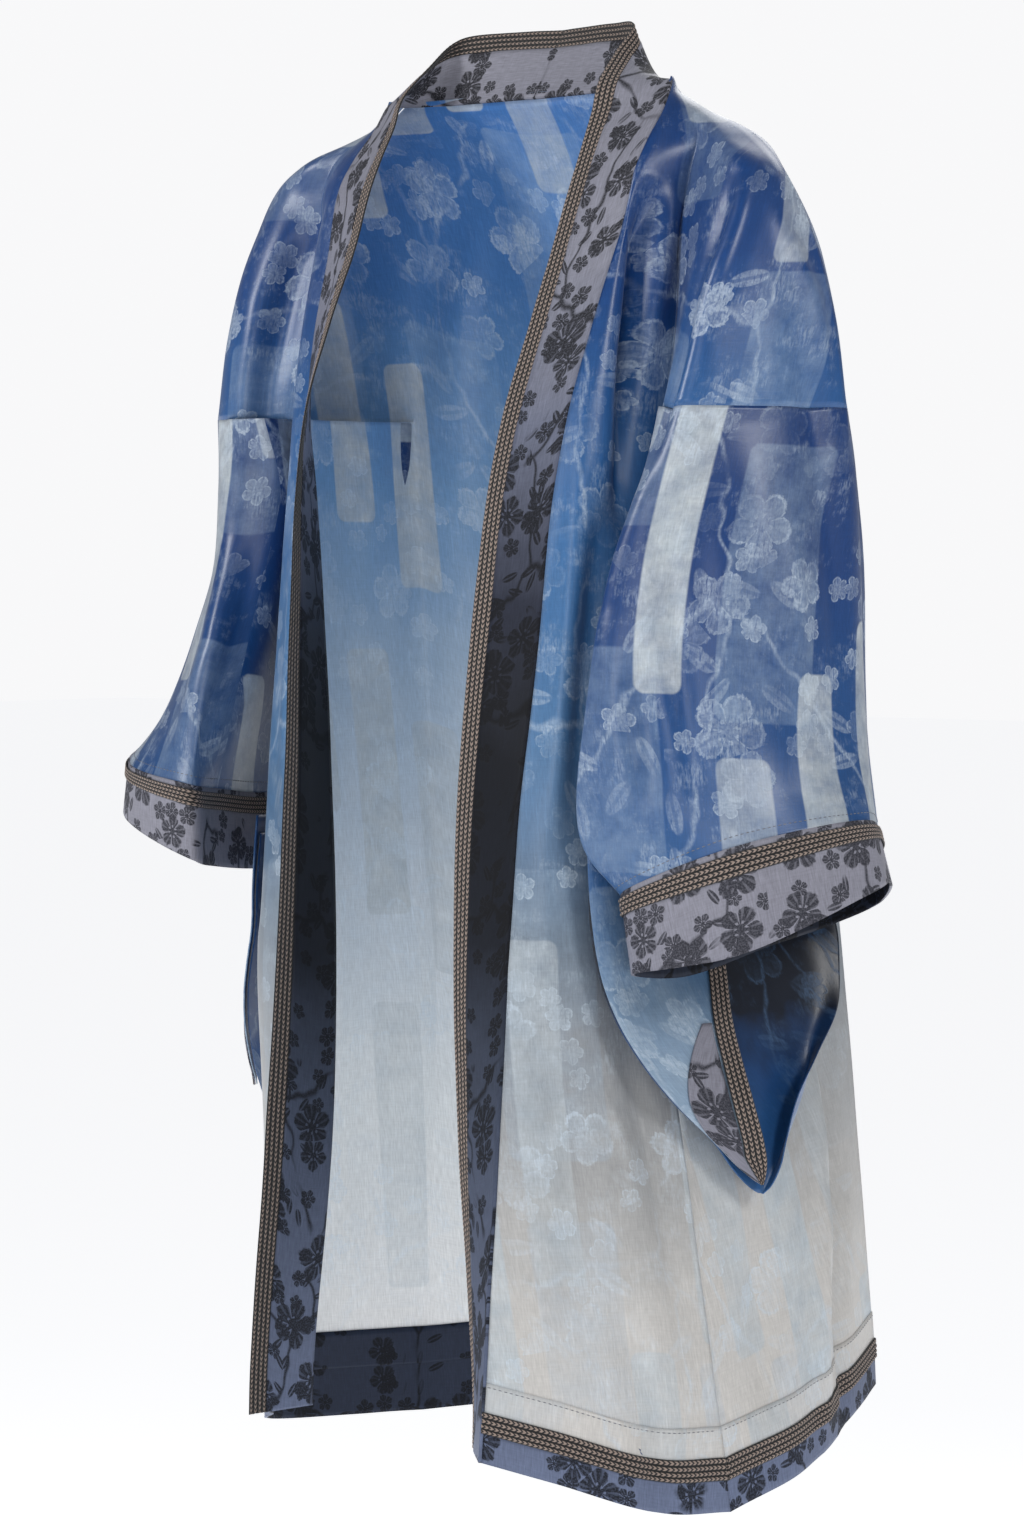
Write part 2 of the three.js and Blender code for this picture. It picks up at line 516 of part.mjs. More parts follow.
for (const [name, s, turn] of [['left', left, (g) => g], ['right', right, mirrored]]) {
  const hanging = drop(DROP_PLACE[name]);
  add(`front_${name}`, panel(sheet(turn(frontPanel(s)))), SILK, 0.4);
  add(`sleeve_${name}`, panel(sheet(turn(sleeveTube(s)), true)), SILK, 0.4);
  add(`cuff_${name}`, strip(sheet(turn(cuffBand(s)), true)), GREY, 0.5);
  add(`cuff_braid_${name}`, plaits(turn(cuffPlait(s)), true, onBand, true), PLAIT, 0.7);
  add(`neckband_${name}`, strip(sheet(turn(neckBand(s)))), GREY, 0.5);
  add(`neck_braid_${name}`, plaits(turn(neckPlait(s)), false, -BRAID / 2), PLAIT, 0.7);
  const hem = hemStrip(frontHem(s), 2, hemBandRows, { top: EASE, left: 2.4, right: EASE });
  add(`hem_band_${name}`, strip(sheet(turn(hem))), GREY, 0.5);
  const hemPlait = hemStrip(frontHem(s), 2, hemPlaitRows, { left: 3, right: 1.5 });
  add(`hem_braid_${name}`, plaits(turn(hemPlait), true, onBand), PLAIT, 0.7);
  add(`drop_front_${name}`, panel(sheet(turn(hanging.front))), SILK, 0.4);
  add(`drop_back_${name}`, panel(sheet(turn(hanging.back))), SILK, 0.4);
  add(`drop_band_${name}`, wall(sheet(turn(hanging.wedge)), onLeaf + BRAID, onLeaf), GREY, 0.5);
  add(`drop_braid_${name}`, plaits(turn(hanging.plait), false, onLeaf), PLAIT, 0.7);
}
add('back', panel(sheet(backPanel())), SILK, 0.4);
add('hem_band_back', strip(sheet(backHem(hemBandRows, { top: EASE, ends: EASE }))), GREY, 0.5);
add('hem_braid_back', plaits(backHem(hemPlaitRows, { ends: 1.5 }), true, onBand), PLAIT, 0.7);

export default jacket;
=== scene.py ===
# %% [markdown]
# # A kimono jacket in printed silk, worn open
#
# The jacket hangs in the shape of a wearer who isn't there. It is cut from two fronts, a back, two wide
# sleeves and the bag that hangs from each sleeve. Grey jacquard bands finish its edges, and a
# beige and black braid runs along each band. Every piece is one sheet of cloth. So each is made the same
# way: a few feature lines, a smooth surface through them, a little relief for folds, and a thin wall.

# %% Load the frame
import bpy
import numpy as np
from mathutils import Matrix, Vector


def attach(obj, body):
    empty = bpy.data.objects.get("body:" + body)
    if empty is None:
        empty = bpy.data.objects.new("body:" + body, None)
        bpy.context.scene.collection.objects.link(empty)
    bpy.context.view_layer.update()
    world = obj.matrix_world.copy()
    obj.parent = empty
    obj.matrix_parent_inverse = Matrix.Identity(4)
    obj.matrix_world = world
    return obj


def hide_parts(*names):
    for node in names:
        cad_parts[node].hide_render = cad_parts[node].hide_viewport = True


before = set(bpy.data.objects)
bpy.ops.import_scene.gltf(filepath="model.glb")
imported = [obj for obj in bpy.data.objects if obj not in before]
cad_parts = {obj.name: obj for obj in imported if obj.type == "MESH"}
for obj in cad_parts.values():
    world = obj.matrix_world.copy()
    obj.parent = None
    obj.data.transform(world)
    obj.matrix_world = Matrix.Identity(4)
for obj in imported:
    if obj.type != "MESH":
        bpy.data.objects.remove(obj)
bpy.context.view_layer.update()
MM = 0.001

# %% [markdown]
# ## The camera
#
# A camera is placed from three things: the point it looks at, its direction and its distance. A long
# lens from 3 m away keeps the front and back of the jacket close to their true proportions. It could also
# be aimed with a constraint, but a fixed rotation is simpler and stays where it is put.

# %% Place the camera
TARGET = Vector((0.005, 0.0045, -0.428))
AZIMUTH, ELEVATION, DISTANCE, LENS = np.radians(40), np.radians(2.5), 3.0, 111.1
towards = Vector((np.sin(AZIMUTH) * np.cos(ELEVATION), -np.cos(AZIMUTH) * np.cos(ELEVATION),
                  np.sin(ELEVATION)))


def linked(name, data):
    """A new object in the scene that shows some data."""
    obj = bpy.data.objects.new(name, data)
    bpy.context.collection.objects.link(obj)
    return obj


camera = linked("camera", bpy.data.cameras.new("camera"))
camera.location = TARGET + towards * DISTANCE
camera.rotation_euler = (-towards).to_track_quat("-Z", "Y").to_euler()
camera.data.lens = LENS
bpy.context.scene.camera = camera
print("camera at", [round(c, 3) for c in camera.location])

# %% [markdown]
# ## The studio
#
# Silk shows its folds through broad, soft highlights, so the lamps are large. One key lamp stands high on
# the camera's left, weaker ones light the front and the right, and a pale world lightens the
# shadows; it looks brighter to the camera than it shines, as a lit backdrop does. A plain pale
# floor lies well below the hem.

# %% Light the studio
def lamp(name, place, power, size):
    """A square area lamp at a place, turned towards the jacket."""
    data = bpy.data.lights.new(name, "AREA")
    data.energy, data.size = power, size
    obj = linked(name, data)
    obj.location = place
    obj.rotation_euler = (TARGET - obj.location).to_track_quat("-Z", "Y").to_euler()


lamp("key", (-1.2, -2.4, 1.3), 46, 0.8)
lamp("front", (1.2, -2.4, 0.3), 13, 1.2)
lamp("side", (2.7, -0.1, 1.1), 30, 0.8)
lamp("rim", (-0.8, 2.2, 1.2), 18, 1.4)
world = bpy.data.worlds.new("pale room")
world.use_nodes = True
sky = world.node_tree
shining, bright = sky.nodes["Background"], sky.nodes.new("ShaderNodeBackground")
shining.inputs["Color"].default_value = (0.93, 0.95, 0.98, 1)
shining.inputs["Strength"].default_value = 0.19
bright.inputs["Color"].default_value = (0.94, 0.94, 0.95, 1)
seen, choice = sky.nodes.new("ShaderNodeLightPath"), sky.nodes.new("ShaderNodeMixShader")
sky.links.new(seen.outputs["Is Camera Ray"], choice.inputs["Fac"])
for slot, source in ((1, shining), (2, bright)):
    sky.links.new(source.outputs["Background"], choice.inputs[slot])
sky.links.new(choice.outputs["Shader"], sky.nodes["World Output"].inputs["Surface"])
bpy.context.scene.world = world
bpy.context.scene.view_settings.view_transform = "Standard"

# %% [markdown]
# ## The tables
#
# A pattern cutter writes a garment down as measurements at named levels. These tables do the same, in
# millimetres: `z` is the level, and each name is a line that follows one feature down the cloth, such as
# a seam, a fold or an edge. All are written for the wearer's left; the right side's own tables are turned
# over when it is built.

# %% Measurements
EDGE = np.array([
    (-8, 80, -3), (-50, 83, -25.5), (-100, 82.5, -47), (-150, 83, -71), (-200, 82, -93),
        (-260, 78.5, -107), (-340, 74, -117), (-450, 71, -127), (-560, 72.5, -132), (-680, 81, -134),
        (-787, 91, -134), (-832, 92.5, -136)
])
COLLAR = np.array([
    (0, 63, 41, 0, 33, -2.4), (45, 56, 42, 55, 34.5, -2.4), (72, 44, 39, 94, 37, -2.4),
        (76, 20, 20, 112, 27, -2.4)
])
LEVELS = [-3, -20, -40, -60, -100, -150, -205, -260, -350, -450, -560, -670, -817, -850]
RIDGE = [(142, 30), (187, 19), (209, 17), (226, 24), (239, 28), (246, 30)]
FRONT_LEFT = {
    "z": LEVELS,
    "band": [(127, 10), (132, -5), (133, -21), (133, -33), (132.5, -50), (132, -72), (131, -94),
        (128, -106), (123, -114), (121, -129), (122, -142), (126, -154), (127.5, -169), (127, -171)],
    "mid": [(125, 14), (134, 1), (137, -17), (136, -33), (138, -49), (142, -66), (142, -85),
        (142, -94), (140, -104), (141, -117), (147, -125), (155, -133), (160.5, -140), (161, -141)],
    "fold": [(122, 18), (137, 8), (142, -9), (140, -27), (143, -43), (150, -54), (152, -66),
        (153, -72), (153, -77), (155, -81), (163, -85), (183, -91), (198.4, -93.6), (201, -92)],
    "seam": [(118, 24), (139, 15), (152, 5), (150, 0), (152, -12), (157, -22), (159, -32), (160, -38),
        (163, -42), (165, -45), (173, -50), (195, -56), (215, -48), (218, -46)],
    "crest": [(112, 29), (142, 23), (178, -3), (204, -20), (209, -40), (202, -60), (195, -77)],
    "front": [(109.5, 31.5), (143, 27), (186, 9), (212, 0), (223, -12), (228, -22), (230, -32)],
    "ridge": [(107, 33.5)] + RIDGE,
}
FRONT_RIGHT = {
    "z": LEVELS,
    "band": [(112, 22), (118, 14), (125, 2), (128.5, -9), (126, -22), (122, -40), (114, -56),
        (102, -62), (87, -70), (76, -77), (68, -83), (70, -85), (85, -85.5), (86, -86)],
    "mid": [(111, 24.5), (124, 17), (134, 4), (138, -8), (138, -20), (136, -36), (131, -50),
        (124, -58), (116, -68), (111, -76), (109, -81), (112, -80), (123, -76.5), (124, -76)],
    "fold": [(110, 27), (129, 20), (142, 7), (147, -3), (148, -12), (147, -25), (145, -36), (145, -42),
        (144, -52), (147, -60), (150, -64), (150, -58), (157, -51), (158, -50)],
    "seam": [(109, 29.5), (133, 23), (152, 11), (158, 8), (158, 4), (158, -6), (158, -14), (160, -20),
        (163, -25), (168, -31), (175, -32), (180, -25), (189, -12), (190, -10)],
    "crest": [(108.3, 31.5), (138, 26), (172, 6), (187, 2), (200, -14), (204, -28), (204, -36)],
    "front": [(107.6, 32.5), (141, 28), (182, 11), (203, 8), (218, 2), (226, -8), (232, -12)],
    "ridge": [(107, 33.5)] + RIDGE,
}
BACK_CAP = {
    "z": LEVELS[:7],
    "ridge": [(107, 36)] + RIDGE,
    "rear": [(95, 36), (138, 37), (180, 35), (200, 29), (216, 40), (226, 46), (230, 52)],
    "crest": [(80, 36), (125, 44), (163, 49), (182, 46), (191, 64), (192, 81), (194, 92)],
    "wing": [(60, 35), (95, 49), (125, 61), (140, 64), (148, 76), (153, 86), (157, 94)],
    "blade": [(35, 34), (60, 50), (70, 64), (75, 75), (85, 90), (92, 103), (97, 115)],
    "centre": [33, 47, 60, 70, 84, 97, 109],
}
BACK_BODY = {
    "z": LEVELS[6:],
    "side": [(167, 25), (169, 26), (173, 28), (172, 29), (180, 29), (204, 28), (221, 25.5), (223, 25)],
    "wing": [(157, 94), (159, 99), (161, 110), (164, 120), (169, 130), (178, 136), (188.4, 141),
        (190, 142)],
    "blade": [(97, 115), (99, 124), (102, 137), (106, 150), (110, 168), (114, 182), (117.5, 194),
        (118, 196)],
    "centre": [109, 118, 130, 143, 160, 174, 187.4, 190],
}
HEM_LEFT = {
    "band": -830, "mid": -843, "fold": -863, "seam": -867, "side": -850, "wing": -818, "blade": -836,
}
HEM_RIGHT = {
    "band": -832, "mid": -838, "fold": -848, "seam": -860, "side": -872, "wing": -878, "blade": -868,
}
SLEEVE_LEFT = {
    "z": [-250, -297, -354, -413],
    "inner": [(167, -50), (165, -74), (163, -88), (168, -92, -450)],
    "crest": [(187, -91), (174, -102), (165, -110), (159, -116, -462)],
    "front": [(229, -48), (228, -62), (229, -73), (234, -80)],
    "ridge": [(251, 28), (254, 26), (257, 22), (264, 17)],
    "rear": [(235, 54), (238, 55), (241, 54), (247, 52)],
    "back": [(200, 94), (202, 97), (204, 97), (210, 95)],
    "hollow": [(170, 100), (175, 100), (179, 99), (187, 94)],
    "side": [(178, 25), (182, 25), (187, 24), (193, 20)],
}
SLEEVE_RIGHT = {
    "z": [-250, -297, -346, -392],
    "inner": [(164, -28), (166, -38), (170, -50), (174, -62)],
    "crest": [(197, -45), (191, -53), (184, -70), (178, -88)],
    "front": [(229, -13), (230, -17), (235, -34), (241, -54)],
    "ridge": [(246, 26), (248, 22), (255, 15), (265, 6)],
    "rear": [(235, 56), (237, 56), (243, 52), (251, 48)],
    "back": [(200, 96), (202, 98), (205, 95), (211, 92)],
    "hollow": [(169, 100), (174, 101), (180, 97), (188, 92)],
    "side": [(178, 25), (182, 25), (188, 22), (195, 17)],
}
CUFF_TOP = {
    "inner": (189, -62, -497), "crest": (177, -99, -496), "front": (244, -86, -468),
        "ridge": (285, -12, -452), "rear": (269, 33, -458), "back": (227, 76, -476),
        "hollow": (205, 74, -488), "side": (205, 6, -498),
}
CUFF_END = {
    "inner": (191, -60, -546), "crest": (180, -93, -543), "front": (252, -82, -512),
        "ridge": (292, -10, -489), "rear": (276, 36, -500), "back": (236, 78, -524),
        "hollow": (211, 70, -538), "side": (208, 8, -546),
}
CUFF_SAG = {
    "left": {"front": 16, "ridge": 6, "rear": -10, "back": -16, "hollow": -18, "side": -16},
    "right": {"front": -12, "ridge": -8},
}
DROP_FRONT = {
    "z": [-467, -520, -548, -574, -598, -621, -648, -672],
    "outline": [(157.4, -118.4), (165, -111), (169, -106), (177, -99), (187, -88), (197, -72),
        (209, -46), (217, -23)],
    "free": [(186, -14), (186, -14), (189, -13), (198, -19), (208, -22), (218, -24), (222, -18),
        (223, -14)],
}
DROP_BACK = {
    "z": [-480, -520, -548, -574, -598, -621, -648, -678],
    "outline": [(156.8, -115.6), (162.7, -110.4), (166.7, -105.3), (174.9, -98.2), (185, -86.8),
        (195, -70.8), (206.8, -44.8), (213, -25)],
    "inner": [(176, -30), (177, -30), (180, -30), (187, -30), (195, -30), (202, -28), (208, -24),
        (215, -20)],
    "turn": [(183, 56), (186, 60), (196, 62), (203, 58), (206, 50), (209, 36), (214, 14), (218, -8)],
    "lip": [(186, 76), (200, 84), (206, 80), (213, 68), (217, 42), (221, 18), (224, 2), (223, -6)],
}
DROP_PLACE = {
    "left": (0, -118.4, 1, -467, 1), "right": (9, -50, 0.68, -462, 0.9),
}
print("front panels have", len(LEVELS), "levels")

# %% [markdown]
# ## Smooth lines and surfaces
#
# A curve through measured points must pass every point and turn softly between them. A Catmull-Rom
# spline does that; its centripetal form never loops, even where points lie close together. Applied once
# down each feature line and once more across the lines, it gives a surface. Everything is computed as
# whole arrays, so a fine grid costs no more code than a coarse one.

# %% Splines
def spline(points, t, closed=False):
    """Points at positions t, counted in control points, on a smooth curve through `points`.

    Between two control points the curve is the cubic that starts and ends at them, with slopes from the
    neighbours on both sides, each weighed by the square root of its distance. `points` may be many curves
    side by side, with shape (number, ..., 3)."""
    points = np.asarray(points, float)
    number = len(points)
    t = np.asarray(t, float)
    if closed:
        k = np.floor(t).astype(int)
        near = [points[(k + d) % number] for d in (-1, 0, 1, 2)]
    else:
        first, last = 2 * points[:1] - points[1:2], 2 * points[-1:] - points[-2:-1]
        longer = np.concatenate([first, points, last])
        k = np.clip(np.floor(t).astype(int), 0, number - 2)
        near = [longer[k + d] for d in (0, 1, 2, 3)]
    w = (t - k).reshape((-1,) + (1,) * (points.ndim - 1))
    before, here, there, after = (((b - a) ** 2).sum(-1, keepdims=True) ** 0.25
                                  for a, b in zip(near + near[1:2], near[1:] + near[2:3]))
    here = np.maximum(here, 1e-3)
    before, after = np.maximum(before, 1e-3), np.maximum(there, 1e-3)
    p0, p1, p2, p3 = near
    slope1 = ((p1 - p0) / before - (p2 - p0) / (before + here) + (p2 - p1) / here) * here
    slope2 = ((p2 - p1) / here - (p3 - p1) / (here + after) + (p3 - p2) / after) * here
    square, cube = 3 * (p2 - p1) - 2 * slope1 - slope2, 2 * (p1 - p2) + slope1 + slope2
    return p1 + slope1 * w + square * w ** 2 + cube * w ** 3


def surface(lines, u, v, closed=False):
    """A grid of points, rows by v and columns by u, on the smooth surface through feature lines."""
    across = np.array([line(v) for line in lines])
    return np.swapaxes(spline(across, u, closed), 0, 1)


HEM, WAIST = -850, -400


def level(z, hem=HEM):
    """The real level of a nominal one: below the waist it stretches so that HEM comes down to `hem`."""
    z = np.asarray(z, float)
    return np.where(z > WAIST, z, WAIST + (z - WAIST) * (hem - WAIST) / (HEM - WAIST))


def column(table, name, hem=HEM, rows=None):
    """One named column of a table as an array of points."""
    z = table["z"][:rows]
    cells = [cell if hasattr(cell, "__len__") else (0, cell) for cell in table[name][:rows]]
    return np.array([(c[0], c[1], c[2] if len(c) > 2 else float(level(h, hem)))
                     for c, h in zip(cells, z)])


def line(points):
    """A feature line: give it row numbers and it returns points."""
    return lambda v: spline(points, v)


def flip(feature):
    """The same line on the wearer's other side."""
    return lambda v: feature(v) * (-1, 1, 1)


# %% The lines of one side
CAP = 6  # row of the armhole
SEAM_ROW, HEM_ROW = 12, 13  # rows of the hem band's upper seam and of the hem
CUFF_OUT = 255  # a turned-up cuff rises from here inwards
FLAT, OVER = "band mid fold seam", "seam crest front ridge"
SHOULDER = "back_ridge back_rear back_crest wing"


def named(s, names):
    """The named feature lines of a side."""
    return [s[name] for name in names.split()]


def side_lines(front, sleeve, hem, lift, slope, sag):
    """Every feature line of one side: panels, sleeve, cuff and border."""
    s = {name: line(column(front, name, hem[name])) for name in ("band", "mid", "fold", "seam")}
    s |= {name: line(column(front, name)) for name in ("crest", "front", "ridge")}
    s |= {"back_" + name: line(column(BACK_CAP, name)) for name in ("ridge", "rear", "crest")}
    for name in ("wing", "blade"):
        s[name] = line(np.concatenate([column(BACK_CAP, name, rows=CAP),
                                       column(BACK_BODY, name, hem[name])]))
    side = column(BACK_BODY, "side", hem["side"])
    s["side"] = lambda v: spline(side, v - CAP)
    top = {"inner": (165, -42), "crest": front["crest"][CAP], "front": front["front"][CAP],
           "ridge": front["ridge"][CAP], "rear": BACK_CAP["rear"][CAP], "back": BACK_CAP["crest"][CAP],
           "hollow": (165, 99), "side": (176, 25)}

    def raised(p):
        return (p[0], p[1], p[2] + lift + slope * max(0, CUFF_OUT - p[0]))

    s["sleeve"], s["cuff"] = [], []
    for name in CUFF_TOP:
        ends = np.array([raised(CUFF_TOP[name]), raised(CUFF_END[name])])
        ends[1, 2] -= sag.get(name, 0)
        rings = np.concatenate([[(*top[name], -205)], column(sleeve, name), ends[:1]])
        s["sleeve"].append(line(rings))
        s["cuff"].append(line(ends))
    z = np.array(front["z"], float)
    drop = EDGE[::-1]
    edge = np.stack([np.interp(z, drop[:, 0], drop[:, 1]), np.interp(z, drop[:, 0], drop[:, 2]),
                     level(z, hem["band"])], 1)
    s["border"] = [line(np.concatenate([COLLAR[:, :3], edge])),
                   line(np.concatenate([COLLAR[:, 3:], column(front, "band", hem["band"])]))]
    return s


left = side_lines(FRONT_LEFT, SLEEVE_LEFT, HEM_LEFT, 0, 0, CUFF_SAG["left"])
right = side_lines(FRONT_RIGHT, SLEEVE_RIGHT, HEM_RIGHT, 34, 0.26, CUFF_SAG["right"])
centre = line(np.concatenate([column(BACK_CAP, "centre", rows=CAP), column(BACK_BODY, "centre", -853)]))
print("lines of a side:", ", ".join(left))

# %% [markdown]
# ## From grids to cloth
#
# A sheet of cloth is modelled once, as its middle surface, and the Solidify modifier gives it a wall with
# closed edges. Grids that share an edge are merged first, so the shading runs on across the join. Each
# grid also writes a UV map in metres of real cloth, measured along the surface: a pattern drawn on it
# keeps its size wherever the panel widens, and it bends with every fold.

# %% Cloth coordinates
def cloth_uv(points, anchor=0, start=(0.0, 0.0)):
    """Distance along the cloth in metres: across from the anchor column, and down from the first row."""
    across = np.zeros(points.shape[:2])
    across[:, 1:] = np.linalg.norm(np.diff(points, axis=1), axis=2).cumsum(1)
    across -= across[:, anchor:anchor + 1]
    down = np.zeros(points.shape[:2])
    down[1:] = np.linalg.norm(np.diff(points, axis=0), axis=2).cumsum(0)
    return np.stack([across * MM + start[0], down * MM + start[1]], 2)


SAME_PLACE = 2e-5  # metres between points that are merged


def mesh_from(name, grids):
    """A mesh object from (points, uv) grids: every cell of a grid becomes one four-sided face."""
    places, maps, quads, base = [], [], [], 0
    for points, uv in grids:
        rows, columns = points.shape[:2]
        index = base + np.arange(rows * columns).reshape(rows, columns)
        quads.append(np.stack([index[:-1, :-1], index[1:, :-1], index[1:, 1:], index[:-1, 1:]], 2)
                     .reshape(-1, 4))
        places.append(points.reshape(-1, 3))
        maps.append(uv.reshape(-1, 2))
        base += rows * columns
    quads, maps = np.concatenate(quads), np.concatenate(maps)
    mesh = bpy.data.meshes.new(name)
    mesh.vertices.add(base)
    mesh.vertices.foreach_set("co", (np.concatenate(places) * MM).ravel())
    mesh.loops.add(quads.size)
    mesh.loops.foreach_set("vertex_index", quads.ravel())
    mesh.polygons.add(len(quads))
    mesh.polygons.foreach_set("loop_start", np.arange(len(quads)) * 4)
    mesh.update(calc_edges=True)
    layer = mesh.uv_layers.new(name="cloth")
    layer.data.foreach_set("uv", maps[quads.ravel()].ravel())
    obj = linked(name, mesh)
    obj.modifiers.new("weld", "WELD").merge_threshold = SAME_PLACE
    apply_modifiers(obj)
    return obj


def apply_modifiers(obj):
    """Bake an object's modifiers into its mesh."""
    graph = bpy.context.evaluated_depsgraph_get()
    graph.update()
    baked = bpy.data.meshes.new_from_object(obj.evaluated_get(graph))
    old, name = obj.data, obj.data.name
    obj.modifiers.clear()
    obj.data = baked
    bpy.data.meshes.remove(old)
    baked.name = name


def add_folds(obj, lift):
    """Move every vertex along its normal by the height of the folds there, plus a lift in mm."""
    mesh = obj.data
    co, normal = np.empty((2, len(mesh.vertices) * 3))
    mesh.vertices.foreach_get("co", co)
    mesh.vertex_normals.foreach_get("vector", normal)
    co, normal = co.reshape(-1, 3), normal.reshape(-1, 3)
    co += normal * (folds(co / MM) + lift)[:, None] * MM
    mesh.vertices.foreach_set("co", co.ravel())
    mesh.update()


def turned(grids):
    """Grids turned over to the wearer's right, with their columns reversed so that faces stay outward."""
    return [(points[:, ::-1] * (-1, 1, 1), uv[:, ::-1]) for points, uv in grids]


def cut_size(grids):
    """Width, length and area in metres of the flat cloth: the longest row, longest column and all cells."""
    uv = np.concatenate([g[1].reshape(-1, 2) for g in grids])
    width, length = np.ptp(uv[:, 0]), np.ptp(uv[:, 1])
    area = 0
    for points, _ in grids:
        a, b = points[1:, 1:] - points[:-1, :-1], points[1:, :-1] - points[:-1, 1:]
        area += np.linalg.norm(np.cross(a, b), axis=2).sum() / 2 * MM ** 2
    return width, max(length, area / width), area


# %% [markdown]
# ## Folds
#
# Cloth that hangs from two shoulders falls into long soft folds, with short pulls where the sleeve is
# set in. A simulation could make them, but not in chosen places. Here each fold is a path in space with
# a width and a height, and one function adds them all up. Every piece uses the same function, so a fold
# runs on across a seam from one panel to the next without a step.

# %% The folds' paths
# Height, half width and the points along each fold. A height below nothing is a trough.
FOLDS = [
    # In front of the left arm, from the shoulder down to the armhole.
    (-11, 11, [(142, -26, -64), (145, -40, -102), (152, -54, -162), (154, -64, -225), (154, -74, -290)]),
    (-5, 5, [(142, -26, -75), (145, -40, -102), (152, -54, -162), (154, -64, -225), (154, -72, -275)]),
    (4.5, 8, [(149, -8, -68), (150, -24, -103), (153, -38, -139), (155, -55, -201), (155, -67, -248)]),
    (-6.5, 9, [(203, -28, -75), (197, -60, -161), (190, -74, -202), (188, -90, -260)]),
    (4, 9, [(208, -21, -65), (212, -32, -86), (209, -49, -126), (204, -60, -150), (194, -79, -208)]),
    (-3.5, 8, [(203, -20, -59), (204, -37, -92), (201, -48, -121)]),
    # Down the left front.
    (3, 8, [(140, -92, -225), (141, -100, -300), (141, -106, -357), (144, -120, -470)]),
    (-4, 9, [(149, -82, -244), (148, -90, -320), (147, -99, -393), (147, -112, -473)]),
    (-3.5, 18, [(140, -135, -540), (156, -128, -640), (176, -128, -791)]),
    (4, 20, [(175, -92, -620), (183, -90, -690), (201, -95, -812)]),
    (-4.5, 9, [(184, -108, -735), (193, -100, -788), (206, -86, -900)]),
    (-4, 10, [(165, -84, -560), (186, -80, -660), (206, -68, -790)]),
    # Left sleeve.
    (-4.5, 8, [(198, -86, -262), (207, -90, -330), (222, -96, -400), (232, -92, -450)]),
    (4, 8, [(244, -20, -260), (254, -26, -340), (268, -30, -440)]),
    (-3, 15, [(209, -76, -243), (219, -78, -321), (231, -89, -437)]),
    (3, 17, [(231, -36, -215), (244, -39, -321), (262, -50, -433)]),
    (-4, 12, [(233, -4, -143), (246, 2, -224), (255, 9, -321), (263, 7, -404)]),
    (3, 9, [(220, -10, -81), (235, 11, -141), (248, 17, -224)]),
    (4.5, 11, [(174, -104, -325), (177, -106, -380), (184, -105, -425), (190, -103, -462)]),
    (-4.5, 9, [(190, -96, -350), (196, -100, -400), (204, -99, -440)]),
    # Left side of the skirt.
    (-10, 9, [(178, 98, -480), (188, 98, -600), (196, 96, -700), (205, 85, -760), (212, 80, -840)]),
    (6, 9, [(180, 70, -520), (190, 72, -620), (203, 62, -700), (212, 52, -770), (220, 46, -850)]),
    (-5.5, 14, [(205, 0, -670), (215, -8, -740), (222, -10, -820)]),
    # Right sleeve and front.
    (-4, 10, [(-134, -5, -52), (-170, -4, -102), (-178, -24, -181), (-174, -39, -260)]),
    (3, 10, [(-179, -1, -69), (-190, -21, -128), (-191, -32, -193), (-183, -45, -270)]),
    (-4, 12, [(-171, -40, -260), (-172, -56, -335), (-173, -83, -392), (-177, -97, -440)]),
    (4, 10, [(-187, -53, -280), (-182, -71, -349), (-193, -90, -425)]),
    (-4, 10, [(-154, -35, -290), (-156, -45, -420), (-154, -57, -540)]),
    (3, 12, [(-118, -62, -240), (-114, -72, -380), (-110, -80, -560)]),
    (-3.5, 14, [(-112, -78, -560), (-116, -80, -680), (-124, -77, -800)]),
    # Right half of the back.
    (3.5, 15, [(-115, 65, -53), (-154, 92, -189), (-160, 103, -324), (-164, 112, -480)]),
    (-4, 14, [(-154, 65, -78), (-168, 62, -205), (-171, 55, -324), (-176, 60, -460)]),
    (-3.5, 13, [(-78, 74, -62), (-118, 95, -143), (-133, 108, -290)]),
    (4, 17, [(-172, 80, -478), (-182, 84, -600), (-197, 91, -760)]),
    (-4, 16, [(-166, 116, -500), (-174, 120, -628), (-186, 135, -800)]),
    (3, 18, [(-40, 60, -50), (-55, 110, -200), (-60, 150, -420)]),
    (-3.5, 18, [(-60, 160, -500), (-70, 178, -660), (-80, 190, -820)]),
    # Middle and left half of the back.
    (3.5, 20, [(20, 150, -480), (14, 172, -640), (10, 186, -820)]),
    (-3.5, 14, [(30, 62, -40), (38, 115, -210), (40, 140, -340)]),
    (3.5, 16, [(60, 70, -60), (72, 118, -210), (80, 142, -390)]),
    (-4, 13, [(110, 66, -55), (132, 96, -150), (142, 116, -330)]),
    (-3, 20, [(90, 146, -420), (96, 172, -620), (104, 190, -810)]),
    (4, 16, [(150, 120, -400), (158, 140, -560), (160, 158, -800)]),
    # Back of the sleeves.
    (-4, 12, [(215, 48, -110), (228, 62, -230), (236, 60, -390)]),
    (3, 11, [(196, 78, -130), (206, 92, -260), (216, 88, -430)]),
    (-3.5, 12, [(-210, 46, -100), (-226, 62, -220), (-240, 56, -370)]),
    (3, 12, [(-192, 74, -120), (-203, 94, -260), (-213, 88, -400)]),
]


def ripple(p, seed, size):
    """Smooth wandering from -1 to 1: six sine waves of random direction and about the given length."""
    rng = np.random.default_rng(seed)
    total = np.zeros(len(p))
    for _ in range(6):
        way = rng.normal(size=3) * (1, 1, 0.45)
        total += np.sin(p @ way / size * 2 + rng.uniform(0, 7))
    return total / 3.5


STRENGTH = 1.45  # how much deeper every fold is than its table height


